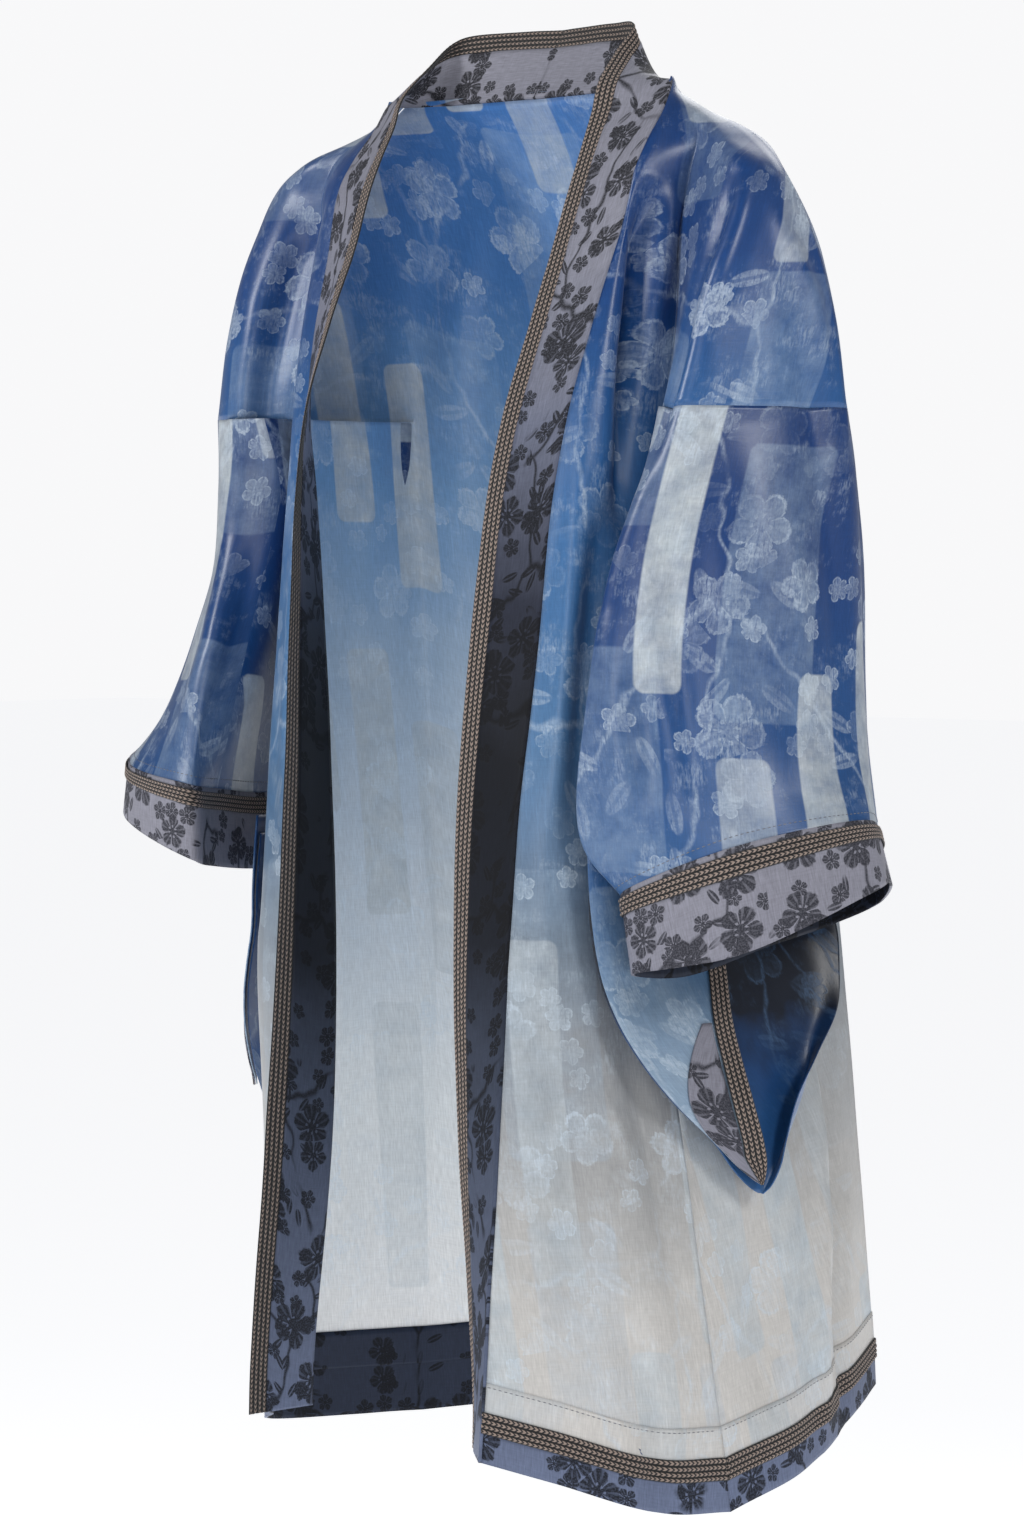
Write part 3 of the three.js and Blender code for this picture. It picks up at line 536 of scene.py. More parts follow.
def folds(p):
    """Height of all folds at points p: each is a bell across its path, tapering to nothing at both ends."""
    total = 0.7 * ripple(p, 3, 60) + 0.28 * ripple(p, 8, 22)
    for height, width, path in FOLDS:
        path = np.array(path, float)
        best = np.full(len(p), 1e9)
        along = np.zeros(len(p))
        for k, (a, b) in enumerate(zip(path, path[1:])):
            t = np.clip(((p - a) @ (b - a)) / ((b - a) @ (b - a)), 0, 1)
            gap = np.linalg.norm(p - a - t[:, None] * (b - a), axis=1)
            closer = gap < best
            best[closer], along[closer] = gap[closer], (k + t[closer]) / (len(path) - 1)
        taper = np.maximum(np.sin(np.pi * along), 0) ** 0.9
        total += STRENGTH * height * np.exp(-(best / width) ** 2) * taper
    return total


# %% Sheet and wall
pieces = {}


def thicken(obj, thickness, offset=0, inner=0):
    """Give a surface a wall, in mm, with closed edges. Its inner side takes the material `inner` places on."""
    solid = obj.modifiers.new("wall", "SOLIDIFY")
    solid.thickness, solid.offset, solid.material_offset = thickness * MM, offset, inner
    apply_modifiers(obj)


def hold(name, obj, stands_for, flat):
    """Finish a piece: it rides on the jacket's one body and stands for a plain solid. Its cut, `flat`, is not
    used.
    """
    obj.data.polygons.foreach_set("use_smooth", np.ones(len(obj.data.polygons), bool))
    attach(obj, "root")
    if stands_for:
        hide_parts(stands_for)
    pieces[name] = obj


def cloth(name, grids, materials, wall, stands_for, lift=0, slot="printed_silk"):
    """One piece of cloth: merge its grids, add the folds and give it a wall. The second material is for
    the inner side."""
    obj = mesh_from(name, grids)
    add_folds(obj, lift)
    for material in materials:
        obj.data.materials.append(material)
    thicken(obj, wall, inner=len(materials) - 1)
    hold(name, obj, stands_for, cut_size(grids))


# %% [markdown]
# ## The panels
#
# A front panel has two parts that meet at the fold in front of the arm: the flat front, which reaches the
# hem band, and the cloth that goes on over the shoulder to the armhole. The back is one piece from side
# seam to side seam: a middle, two flanks and two shoulders.

# %% Rows down the garment
CAP_STEPS = np.linspace(0, CAP, 81)
BODY_STEPS = np.linspace(CAP, SEAM_ROW, 127)
LONG = np.concatenate([CAP_STEPS, BODY_STEPS[1:]])


def across(n, count):
    """Column positions over n gaps between feature lines."""
    return np.linspace(0, n, count)


def tucked(grid, rows, up=3.0, out=1.2):
    """A panel whose first rows run up and outwards, in mm, behind the border."""
    share = np.clip(1 - rows / 0.3, 0, 1)[:, None]
    away = grid[..., :2] - (0, 8)
    away /= np.maximum(np.linalg.norm(away, axis=2, keepdims=True), 1e-6)
    grid[..., 2] += up * share
    grid[..., :2] += away * out * share[..., None]
    return grid


def front_panel(s):
    """The flat front and the part over the shoulder, with cloth coordinates that run on from one to the
    other."""
    flat = surface(named(s, FLAT), across(3, 52), LONG)
    tucked(flat, LONG)
    over = surface(named(s, OVER), across(3, 60), CAP_STEPS)
    tucked(over, CAP_STEPS)
    flat_uv, over_uv = cloth_uv(flat, anchor=51), cloth_uv(over)
    over_uv[..., 0] += flat_uv[:len(over), -1:, 0]
    over_uv[..., 1] = flat_uv[:len(over), -1:, 1]
    return [(flat, flat_uv), (over, over_uv)]


def back_middle(rows):
    lines = [left["wing"], left["blade"], centre, flip(right["blade"]), flip(right["wing"])]
    grid = tucked(surface(lines, across(4, 101), rows), rows)
    return grid, cloth_uv(grid, anchor=50)


def back_flank(s, rows):
    return surface(named(s, "seam side wing"), across(2, 31), rows)


def back_shoulder(s):
    return tucked(surface(named(s, SHOULDER), across(3, 40), CAP_STEPS), CAP_STEPS)


def joined(middle_uv, points, start, side):
    """Cloth coordinates of a grid that joins the back's middle along its last column."""
    uv = cloth_uv(points, anchor=points.shape[1] - 1)
    edge = middle_uv[start:start + len(points), 0 if side > 0 else -1]
    uv[..., 0] = edge[:, None, 0] + side * uv[..., 0]
    uv[..., 1] = edge[:, None, 1]
    return uv


def back_ring(rows, cap=False):
    """The back at some rows, from side seam to side seam, and over both shoulders if asked."""
    body, body_uv = back_middle(rows)
    grids = [(body, body_uv)]
    start = len(CAP_STEPS) - 1 if cap else 0
    for s, side in ((left, 1), (right, -1)):
        parts = [(back_flank(s, rows[start:]), start)]
        if cap:
            parts.append((back_shoulder(s), 0))
        for points, first in parts:
            grid = [(points, joined(body_uv, points, first, side))]
            grids += grid if side > 0 else turned(grid)
    return grids


def back_strip(rows):
    """Some rows of the back, below its shoulders, as one grid from side seam to side seam."""
    body, left_flank, right_flank = (points for points, _ in back_ring(rows))
    return np.concatenate([left_flank[:, :-1], body, right_flank[:, 1:]], 1)


def sleeve_tube(s):
    """A tube from the armhole to the cuff; its first ring follows the panels' edges. Its cloth
    is measured from the front, where its grain is upright."""
    u, v = across(8, 153), np.linspace(0, 5, 101)
    grid = surface(s["sleeve"], u, v, closed=True)
    front, rear = (u >= 1) & (u <= 3), (u >= 3) & (u <= 5)
    edge = grid[0].copy()
    edge[front] = surface(named(s, OVER), u[front], [CAP])[0]
    edge[rear] = surface(named(s, SHOULDER), u[rear] - 3, [CAP])[0]
    grid = grid + (edge - grid[0]) * np.clip(1 - v, 0, 1)[:, None, None] ** 2
    return [(grid, cloth_uv(grid, anchor=38))]


def cuff_ring(s, first, last, count):
    grid = surface(s["cuff"], across(8, 153), np.linspace(first, last, count), closed=True)
    return [(grid, cloth_uv(grid))]


# %% [markdown]
# ## Bands and braids
#
# The border is one band that starts behind the neck, lies over the shoulder and follows the free edge of
# each front down to the hem. Its outer third is covered by the braid. A braid is four plaits side by
# side; each plait is two strands that cross at every few millimetres. A height function on a fine grid
# gives the rounded rows and the slanting strands, at a fraction of the faces that real cords would take.

# %% Border and hem
NECK_BRAID, NECK_BAND, HEM_BRAID, CUFF_BRAID, DROP_BRAID = 14, 50, 13, 12, 15
HEM_HEIGHT = 33  # all these widths are in mm
BRAID_SHARE = NECK_BRAID / NECK_BAND
ROWS_OF_PLAIT = 4
PITCH = 3.1  # millimetres from one crossing to the next
SLANT, ROW_SHIFT = 1.5, 0.37  # how far strands lean, and each row starts later, in crossings


def border(s, first, last, columns, count):
    grid = surface(s["border"], np.linspace(first, last, columns), np.linspace(0, 17, count))
    return [(grid, cloth_uv(grid, start=(first * NECK_BAND * MM, 0)))]


def front_hem(s, rows, columns=52):
    grid = surface(named(s, FLAT), across(3, columns), rows)
    return [(grid, cloth_uv(grid))]


def one_side(turn, grid):
    """A grid without cloth coordinates, turned over if its side is."""
    return turn([(grid, grid[..., :2])])[0][0]


def even_steps(grid, axis, spacing):
    """Resample a grid along one axis so that its steps are about `spacing` mm long on average."""
    grid = np.moveaxis(grid, axis, 0)
    step = np.linalg.norm(np.diff(grid, axis=0), axis=2).mean(1)
    length = np.concatenate([[0], step.cumsum()])
    wanted = np.linspace(0, length[-1], max(8, int(length[-1] / spacing)))
    k = np.clip(np.searchsorted(length, wanted) - 1, 0, len(grid) - 2)
    w = ((wanted - length[k]) / np.maximum(length[k + 1] - length[k], 1e-9))[:, None, None]
    return np.moveaxis(grid[k] * (1 - w) + grid[k + 1] * w, 0, axis)


def braid(name, grid, long_axis, base, stands_for):
    """A braid on a grid of its middle surface. Height over the base, in mm: a half-round for each of the
    plaits, times a slanted wave whose slant changes sides at the plait's middle, so strands meet in a V."""
    grid = even_steps(grid, long_axis, 1.0)
    fine = np.moveaxis(grid, long_axis, 0)
    wide = spline(np.moveaxis(fine, 1, 0), np.linspace(0, fine.shape[1] - 1, ROWS_OF_PLAIT * 5 + 1))
    fine = np.moveaxis(wide, 1, 0)
    share = np.linspace(0, ROWS_OF_PLAIT, fine.shape[1])[None]
    run = np.zeros(fine.shape[:2])
    run[1:] = np.linalg.norm(np.diff(fine, axis=0), axis=2).cumsum(0).mean(1, keepdims=True)
    inside = share % 1
    round_row = np.sqrt(np.clip(1 - (2 * inside - 1) ** 2, 0, 1))
    phase = run / PITCH + SLANT * np.abs(inside - 0.5) + ROW_SHIFT * np.floor(share)
    strand = 0.5 + 0.5 * np.cos(2 * np.pi * phase)
    height = base + 0.55 + 0.85 * round_row * (0.55 + 0.45 * strand)
    uv = np.stack([np.broadcast_to(share / ROWS_OF_PLAIT, run.shape), run * MM], 2)
    if long_axis == 1:
        fine, uv, height = (np.moveaxis(x, 0, 1) for x in (fine, uv, height))
    sideways, down = np.gradient(fine, axis=1), np.gradient(fine, axis=0)
    normal = np.cross(down, sideways)
    normal /= np.maximum(np.linalg.norm(normal, axis=2, keepdims=True), 1e-9)
    lift = folds(fine.reshape(-1, 3)).reshape(fine.shape[:2])
    top = fine + normal * (height + lift)[..., None]
    obj = mesh_from(name, [(top, uv)])
    obj.data.materials.append(plait)
    thicken(obj, 0.7, offset=-1)
    hold(name, obj, stands_for, cut_size([(fine, cloth_uv(fine))]))


# %% [markdown]
# ## Shader arithmetic
#
# A pattern in a shader is a formula: distances, angles and waves of the cloth coordinates. Writing each
# node by hand hides the formula, so a small class lets shader sockets be added and multiplied like
# numbers. Every operator makes one Math node.

# %% Sockets as numbers
TURN = 6.283  # radians


class Value:
    """A shader socket that takes part in arithmetic."""

    def __init__(self, tree, socket):
        self.tree, self.socket = tree, socket

    def math(self, kind, *others):
        node = self.tree.nodes.new("ShaderNodeMath")
        node.operation = kind
        for slot, value in zip(node.inputs, (self, *others)):
            join(self.tree, value, slot)
        return Value(self.tree, node.outputs[0])

    def __add__(self, other): return self.math("ADD", other)
    def __sub__(self, other): return self.math("SUBTRACT", other)
    def __mul__(self, other): return self.math("MULTIPLY", other)
    def __truediv__(self, other): return self.math("DIVIDE", other)
    def __rsub__(self, other): return (self * -1) + other
    __radd__, __rmul__ = __add__, __mul__

    def step(self, low, high):
        """0 below low, 1 above high and a soft rise between; falls instead where high is below low."""
        node = self.tree.nodes.new("ShaderNodeMapRange")
        node.interpolation_type = "SMOOTHSTEP"
        for name, value in (("Value", self), ("From Min", low), ("From Max", high)):
            join(self.tree, value, node.inputs[name])
        if not isinstance(low, Value) and low > high:
            node.inputs["From Min"].default_value, node.inputs["From Max"].default_value = high, low
            node.inputs["To Min"].default_value, node.inputs["To Max"].default_value = 1, 0
        return Value(self.tree, node.outputs["Result"])


def join(tree, value, slot):
    """Link a Value to a socket, or set a plain number, vector or colour on it."""
    if isinstance(value, Value):
        tree.links.new(value.socket, slot)
    else:
        slot.default_value = value


def node(tree, kind, settings=(), outputs=0, **inputs):
    """A node with its settings and inputs; returns the wanted output, or several for a list of names."""
    new = tree.nodes.new(kind)
    for key, value in dict(settings).items():
        setattr(new, key, value)
    for key, value in inputs.items():
        join(tree, value, new.inputs[key.replace("_", " ")])
    if isinstance(outputs, (list, tuple)):
        return [Value(tree, new.outputs[name]) for name in outputs]
    return Value(tree, new.outputs[outputs])


def vector_math(tree, kind, a, b):
    new = tree.nodes.new("ShaderNodeVectorMath")
    new.operation = kind
    for slot, value in zip(new.inputs, (a, b)):
        join(tree, value, slot)
    return Value(tree, new.outputs[0])


def split(tree, vector):
    return node(tree, "ShaderNodeSeparateXYZ", outputs=["X", "Y", "Z"], Vector=vector)


def combine(tree, x, y, z=0.0):
    return node(tree, "ShaderNodeCombineXYZ", X=x, Y=y, Z=z)


def noise(tree, vector, scale, detail=3.0, rough=0.55):
    return node(tree, "ShaderNodeTexNoise", outputs="Fac", Vector=vector, Scale=scale, Detail=detail,
                Roughness=rough)


def blend(tree, share, a, b, kind="MIX"):
    """Colour a turning into colour b by a share."""
    new = tree.nodes.new("ShaderNodeMix")
    new.data_type, new.blend_type = "RGBA", kind
    for slot, value in ((new.inputs[0], share), (new.inputs[6], a), (new.inputs[7], b)):
        join(tree, value, slot)
    return Value(tree, new.outputs[2])


def ramp(tree, value, stops):
    """Colour by value through (position, colour) stops."""
    new = tree.nodes.new("ShaderNodeValToRGB")
    for _ in stops[2:]:
        new.color_ramp.elements.new(0.5)
    for element, (place, colour) in zip(new.color_ramp.elements, stops):
        element.position, element.color = place, colour
    join(tree, value, new.inputs["Fac"])
    return Value(tree, new.outputs["Color"])


def colour(text):
    """Linear RGBA of a web colour such as 3F6BA5."""
    c = np.array([int(text[i:i + 2], 16) for i in (0, 2, 4)]) / 255
    return (*np.where(c < 0.04045, c / 12.92, ((c + 0.055) / 1.055) ** 2.4), 1.0)


def group(name, inputs, outputs, build):
    """A reusable node group; build(tree, inputs) returns its outputs. The socket called Vector takes a
    vector and every other one a number."""
    tree = bpy.data.node_groups.new(name, "ShaderNodeTree")
    for titles, way in ((inputs, "INPUT"), (outputs, "OUTPUT")):
        for title in titles.split():
            kind = "NodeSocketVector" if title == "Vector" else "NodeSocketFloat"
            tree.interface.new_socket(title, in_out=way, socket_type=kind)
    start, end = tree.nodes.new("NodeGroupInput"), tree.nodes.new("NodeGroupOutput")
    made = build(tree, {title: Value(tree, start.outputs[title]) for title in inputs.split()})
    for title, value in made.items():
        join(tree, value, end.inputs[title])
    print("node group:", name, "with", len(tree.nodes), "nodes")
    return tree


def use(tree, which, **inputs):
    """A node that runs a group; returns all of the group's outputs."""
    new = tree.nodes.new("ShaderNodeGroup")
    new.node_tree = which
    for key, value in inputs.items():
        join(tree, value, new.inputs[key])
    return [Value(tree, output) for output in new.outputs]


# %% [markdown]
# ## Blossoms, branches and leaves
#
# Both the silk and the grey bands carry the old pattern of plum blossom on thin branches. A blossom is
# drawn in polar coordinates round the centre of a Voronoi cell: its edge swings in and out five times a
# turn. Branches follow the borders between larger, wavering cells, which fork as twigs do. Leaves are
# small turned ellipses close to the branches.

# %% Blossom group
def cells(tree, vector, randomness):
    """Centre and random tint of the cell that a point lies in."""
    return node(tree, "ShaderNodeTexVoronoi", {"voronoi_dimensions": "2D"}, ["Position", "Color"],
                Vector=vector, Scale=1.0, Randomness=randomness)


def draw_blossom(tree, given):
    sized = vector_math(tree, "DIVIDE", given["Vector"], combine(tree, given["Size"], given["Size"], 1.0))
    shifted = vector_math(tree, "ADD", sized, combine(tree, given["Seed"], given["Seed"] * 1.7))
    place, tint = cells(tree, shifted, 0.85)
    x, y, _ = split(tree, vector_math(tree, "SUBTRACT", shifted, place))
    r, g, b = split(tree, tint)
    radius = (x * x + y * y).math("SQRT")
    angle = y.math("ARCTAN2", x) + r * TURN
    lobe = (angle * 2.5).math("COSINE").math("ABSOLUTE")
    reach = (g * 0.16 + 0.27) * (lobe.math("POWER", 0.6) * 0.4 + 0.6)
    kept = (b - given["Amount"]).step(0.01, -0.01)
    ragged = noise(tree, given["Vector"], 420.0, 2.0) - 0.5
    depth = (reach - radius + ragged * 0.09) * kept
    inside = depth.step(0.0, 0.035)
    edge = (depth - 0.02).math("ABSOLUTE").step(0.03, 0.008) * kept * (radius - 0.02).step(0.0, 0.02)
    veins = (angle * 15).math("SINE").step(0.1, 0.8) * (radius / reach).step(0.3, 0.6)
    gaps = lobe.step(0.2, 0.03) * (radius / reach).step(0.25, 0.4)
    heart = (radius - reach * 0.3).math("ABSOLUTE").step(0.03, 0.012)
    stamens = heart * (angle * 7).math("SINE").step(0.0, 0.4)
    fill = inside * (1 - gaps) * (1 - stamens * 0.9) * (1 - veins * 0.35)
    return {"Flower": fill, "Outline": (edge + inside * (gaps + stamens)).math("MINIMUM", 1.0)}


BLOSSOM = group("blossom", "Vector Size Seed Amount", "Flower Outline", draw_blossom)


# %% Branch and leaf group
def draw_branch(tree, given):
    x, y, _ = split(tree, given["Vector"])
    wander = noise(tree, given["Vector"], 22.0, 2.0) - 0.5
    sway = noise(tree, combine(tree, y, x), 31.0, 2.0) - 0.5
    bent = combine(tree, (x + wander * 0.03 + given["Seed"]) / given["Size"],
                   (y + sway * 0.03) / given["Size"] * 0.6)
    near = node(tree, "ShaderNodeTexVoronoi", {"voronoi_dimensions": "2D", "feature": "DISTANCE_TO_EDGE"},
                "Distance", Vector=bent, Scale=1.0, Randomness=1.0)
    patchy = noise(tree, given["Vector"], 14.0, 1.0).step(0.37, 0.46)
    twig = near.step(given["Width"], 0.0) * patchy
    cell = combine(tree, x / (given["Size"] * 0.2) + given["Seed"], y / (given["Size"] * 0.2))
    place, tint = cells(tree, cell, 1.0)
    r, g, _ = split(tree, tint)
    u, v, _ = split(tree, node(tree, "ShaderNodeVectorRotate", {"rotation_type": "Z_AXIS"},
                               Vector=vector_math(tree, "SUBTRACT", cell, place), Angle=r * TURN))
    leaf = (u * u * 4 + v * v * 28).step(0.8, 0.55) * g.step(0.42, 0.44) * near.step(0.2, 0.14) * patchy
    rib = (v.math("ABSOLUTE")).step(0.05, 0.02) * 0.6
    return {"Twig": twig, "Leaf": leaf * (1 - rib)}


BRANCH = group("branch", "Vector Size Width Seed", "Twig Leaf", draw_branch)

# %% [markdown]
# ## The weave
#
# The silk is a jacquard satin. From close by it shows fine cross threads, uneven as hand-reeled silk is,
# and the pattern stands a little proud of the ground. One group gives that height and a slight change of
# tone, and every cloth uses it at its own strength.

# %% Weave group
def draw_weave(tree, given):
    x, y, _ = split(tree, given["Vector"])
    across_grain = noise(tree, combine(tree, x * 90, y * 900), 1.0, 2.0)
    along_grain = noise(tree, combine(tree, x * 1100, y * 120), 1.0, 2.0)
    slubs = noise(tree, combine(tree, x * 420, y * 30), 1.0, 3.0).step(0.5, 0.75)
    threads = (x * 9000).math("SINE") * 0.25 + (y * 9000).math("SINE") * 0.25
    tone = (across_grain * 0.3 + along_grain * 0.7 - 0.5) * given["Strength"] + slubs * 0.10
    return {"Tone": tone, "Height": across_grain * 0.5 + along_grain * 0.5 + threads * 0.2}


WEAVE = group("weave", "Vector Strength", "Tone Height", draw_weave)

# %% [markdown]
# ## Patchwork
#
# Tall pale rectangles with rounded corners stand on the blue, like strips of old paper. Each column of
# the cloth is cut into cells at random heights, and each cell holds one strip of random width, or none.

# %% Patchwork group
def draw_patchwork(tree, given):
    x, y, _ = split(tree, given["Vector"])
    u = x / given["Width"] + given["Seed"]
    number = u.math("FLOOR")
    shift = node(tree, "ShaderNodeTexWhiteNoise", {"noise_dimensions": "1D"}, "Value", W=number + 0.5)
    v = y / given["Height"] + shift * 3
    row = v.math("FLOOR")
    chance, tint = node(tree, "ShaderNodeTexWhiteNoise", {"noise_dimensions": "2D"}, ["Value", "Color"],
                        Vector=combine(tree, number + 0.5, row + 0.5))
    r, g, b = split(tree, tint)
    fx, fy = (u - number - 0.5).math("ABSOLUTE"), (v - row - 0.5).math("ABSOLUTE")
    wide = r * 0.16 + 0.26
    tall = g * 0.14 + 0.28
    dx = ((fx - wide) * given["Width"] + 0.006).math("MAXIMUM", 0.0)
    dy = ((fy - tall) * given["Height"] + 0.006).math("MAXIMUM", 0.0)
    reach = (dx * dx + dy * dy).math("SQRT")
    strip = reach.step(0.0072, 0.0054) * (chance - given["Amount"]).step(0.01, -0.01)
    return {"Strip": strip, "Strength": b * 0.5 + 0.5}


PATCHWORK = group("patchwork", "Vector Width Height Seed Amount", "Strip Strength", draw_patchwork)

# %% [markdown]
# ## Printed silk
#
# The print fades from deep blue at the shoulders to silver grey at the hem, with the soft, cloudy edge of
# a dye that ran. The fade follows the real height on the jacket, so it runs level across seams, while
# blossoms, branches and strips follow the cloth. Satin is smooth but not a mirror: a middling
# roughness, a little sheen for the fibres, and a bump from the weave.

# %% Silk material
def finish(material, tree, base, rough, bump, strength, distance=0.0004, **sockets):
    """Connect colour, roughness and bump to the material's one shader and set its plain values."""
    shader = tree.nodes["Principled BSDF"]
    join(tree, base, shader.inputs["Base Color"])
    join(tree, rough, shader.inputs["Roughness"])
    normal = node(tree, "ShaderNodeBump", outputs="Normal", Height=bump, Strength=strength,
                  Distance=distance)
    join(tree, normal, shader.inputs["Normal"])
    for key, value in sockets.items():
        shader.inputs[key.replace("_", " ")].default_value = value
    print("material:", material.name, "with", len(tree.nodes), "nodes")
    return material


def new_material(name):
    material = bpy.data.materials.new(name)
    material.use_nodes = True
    tree = material.node_tree
    cloth_place = node(tree, "ShaderNodeUVMap", {"uv_map": "cloth"}, "UV")
    place = node(tree, "ShaderNodeTexCoord", outputs="Object")
    return material, tree, cloth_place, place


def fading(tree, level_here, stops):
    """The colour of a level in metres, through (level, colour) stops that run from the top down."""
    bottom, top = stops[-1][0], stops[0][0]
    return ramp(tree, (level_here - bottom) / (top - bottom),
                [((h - bottom) / (top - bottom), colour(c)) for h, c in reversed(stops)])


def shaded(tree, base, amount):
    """A colour made darker or lighter by an amount."""
    return blend(tree, 1.0, base, combine(tree, amount, amount, amount), "MULTIPLY")


def silk(name, stops, seed, figure="C3D1DE", amount=0.55, strips=0.45, dark=1.0, glow=0.0):
    """Silk whose ground runs through (level in m, colour) stops, with blossoms, branches and strips.
    A little glow stands for the light that thin silk lets through from its other side. A `dark` factor
    below one darkens the whole colour as painted shade."""
    material, tree, uv, place = new_material(name)
    _, _, z = split(tree, place)
    cloud = noise(tree, place, 7.0, 4.0, 0.6) - 0.5
    fine_cloud = noise(tree, place, 34.0, 3.0, 0.6) - 0.5
    ground = fading(tree, z + cloud * 0.16 + fine_cloud * 0.03, stops)
    strip, strong = use(tree, PATCHWORK, Vector=uv, Width=0.052, Height=0.25, Seed=seed, Amount=strips)
    pale = blend(tree, noise(tree, uv, 60.0, 4.0), colour("93A3B1"), colour("C9CCCB"))
    mottled = noise(tree, uv, 42.0, 5.0, 0.72) - 0.5
    wash = strip * strong * (0.8 + cloud * 0.9 + mottled * 1.5)
    block, block_strong = use(tree, PATCHWORK, Vector=uv, Width=0.105, Height=0.21, Seed=seed + 11,
                              Amount=strips + 0.1)
    ground = blend(tree, block * (block_strong - 0.4) * (0.36 + mottled * 1.4), ground, colour("9DB2C6"))
    ground = blend(tree, wash, ground, pale)
    cluster = noise(tree, uv, 7.0, 1.0).step(0.40, 0.52)
    flower, line_work = use(tree, BLOSSOM, Vector=uv, Size=0.056, Seed=seed, Amount=amount)
    small, small_line = use(tree, BLOSSOM, Vector=uv, Size=0.024, Seed=seed + 5, Amount=amount * 0.9)
    twig, leaf = use(tree, BRANCH, Vector=uv, Size=0.16, Width=0.014, Seed=seed)
    tone, height_map = use(tree, WEAVE, Vector=uv, Strength=0.65)
    speck = noise(tree, uv, 520.0, 2.0).step(0.38, 0.62)
    worn = noise(tree, uv, 19.0, 2.0).step(0.36, 0.6)
    blossoms = (flower * 0.58 + small * 0.6 + line_work + small_line * 0.7) * (cluster * 0.8 + 0.2)
    drawn = (blossoms + twig * 0.75 + leaf * 0.6).math("MINIMUM", 1.0)
    x, y, _ = split(tree, uv)
    streak = noise(tree, combine(tree, x * 700, y * 160), 1.0, 2.0)
    mask = drawn * (speck * 0.35 + 0.65) * (worn * 0.6 + 0.4) * streak.step(0.2, 0.52)
    dusting = noise(tree, uv, 30.0, 5.0, 0.75).step(0.5, 0.68) * streak.step(0.35, 0.62) * 0.45
    mask = (mask + dusting).math("MINIMUM", 1.0)
    base = blend(tree, mask * 0.54, ground, colour(figure))
    # Times `dark`: below one this is painted shade over the whole silk, as in the hollow of a bag.
    base = shaded(tree, base, (tone + 1.0) * dark)
    join(tree, base, tree.nodes["Principled BSDF"].inputs["Emission Color"])
    bump = height_map * 0.35 + mask * 0.5 + noise(tree, uv, 160.0, 3.0) * 0.5
    rough = mask * 0.16 + tone * 0.1 + 0.34
    return finish(material, tree, base, rough, bump, 0.35, 0.0004, Sheen_Weight=0.1,
                  Sheen_Roughness=0.4, Specular_IOR_Level=0.5, Emission_Strength=glow)


def jacquard(name, stops, figure, seed):
    """Satin ground that runs through (level in m, colour) stops, with blossoms, twigs and leaves in
    another weave."""
    material, tree, uv, place = new_material(name)
    _, _, z = split(tree, place)
    flower, line_work = use(tree, BLOSSOM, Vector=uv, Size=0.040, Seed=seed, Amount=0.9)
    small, _ = use(tree, BLOSSOM, Vector=uv, Size=0.018, Seed=seed + 3, Amount=0.55)
    twig, leaf = use(tree, BRANCH, Vector=uv, Size=0.07, Width=0.03, Seed=seed)
    tone, height_map = use(tree, WEAVE, Vector=uv, Strength=0.8)
    drawn = (flower + small + twig + leaf).math("MINIMUM", 1.0)
    cloud = noise(tree, place, 11.0, 3.0)
    base = fading(tree, z + (cloud - 0.5) * 0.09, stops)
    grain = noise(tree, uv, 900.0, 1.0).step(0.35, 0.6)
    base = blend(tree, drawn * (grain * 0.2 + 0.74), base, colour(figure))
    base = shaded(tree, base, tone * 1.3 + 1.0)
    bump = height_map * 0.4 + (1 - drawn) * 0.6 + line_work * 0.3
    return finish(material, tree, base, 0.5 + drawn * 0.15, bump, 0.3, 0.0004, Sheen_Weight=0.02,
                  Sheen_Roughness=0.4, Specular_IOR_Level=0.18)


def plait_material(name):
    """The colours of the braid: in each plait, strands of beige rose cross strands of black, and painted
    shade makes the grooves between the plaits near black.
    """
    material, tree, uv, _ = new_material(name)
    x, y, _ = split(tree, uv)
    inside = (x * ROWS_OF_PLAIT).math("FRACT") - 0.5
    bend = inside.math("ABSOLUTE")
    phase = y * (1000 / PITCH) + bend * SLANT + (x * ROWS_OF_PLAIT).math("FLOOR") * ROW_SHIFT
    strand = (phase * TURN).math("COSINE")
    fibres = noise(tree, combine(tree, x * 260, y * 900), 1.0, 2.0)
    light = blend(tree, fibres, colour("75665E"), colour("AE9B8F"))
    base = blend(tree, (strand + fibres * 0.6).step(-0.25, 0.6), colour("1B191C"), light)
    # Near black along the edges of each plait: painted shade in the grooves between the plaits.
    base = blend(tree, bend.step(0.24, 0.37), base, colour("09090B"))
    return finish(material, tree, base, 0.75, strand * 0.5 + fibres * 0.5 - bend * 0.6, 0.5, 0.0005,
                  Sheen_Weight=0.15)


BLUE = [(0.02, "12386F"), (-0.13, "153E77"), (-0.26, "2D6095"), (-0.40, "4B739C"), (-0.52, "64717F"),
        (-0.64, "979899"), (-0.74, "B9B7B4"), (-0.86, "C8C5C1")]
silk_front = silk("printed silk, fronts", BLUE, 1.3, strips=0.35)
silk_back = silk("printed silk, back", [(h + 0.03, c) for h, c in BLUE], 4.6, strips=0.5)
INSIDE = [(0.02, "3D6CAA"), (-0.12, "4876AE"), (-0.24, "6C95BE"), (-0.36, "A0B4C8"), (-0.50, "C6CED6"),
          (-0.66, "D6DADC"), (-0.86, "D2D2D2")]
silk_inside = silk("printed silk, inner side", INSIDE, 9.3, strips=0.6, glow=0.1)
SLEEVE_BLUE = [(-0.1, "0F3166"), (-0.3, "12386F"), (-0.45, "204D82"), (-0.56, "42688F"), (-0.67, "93A5B5")]
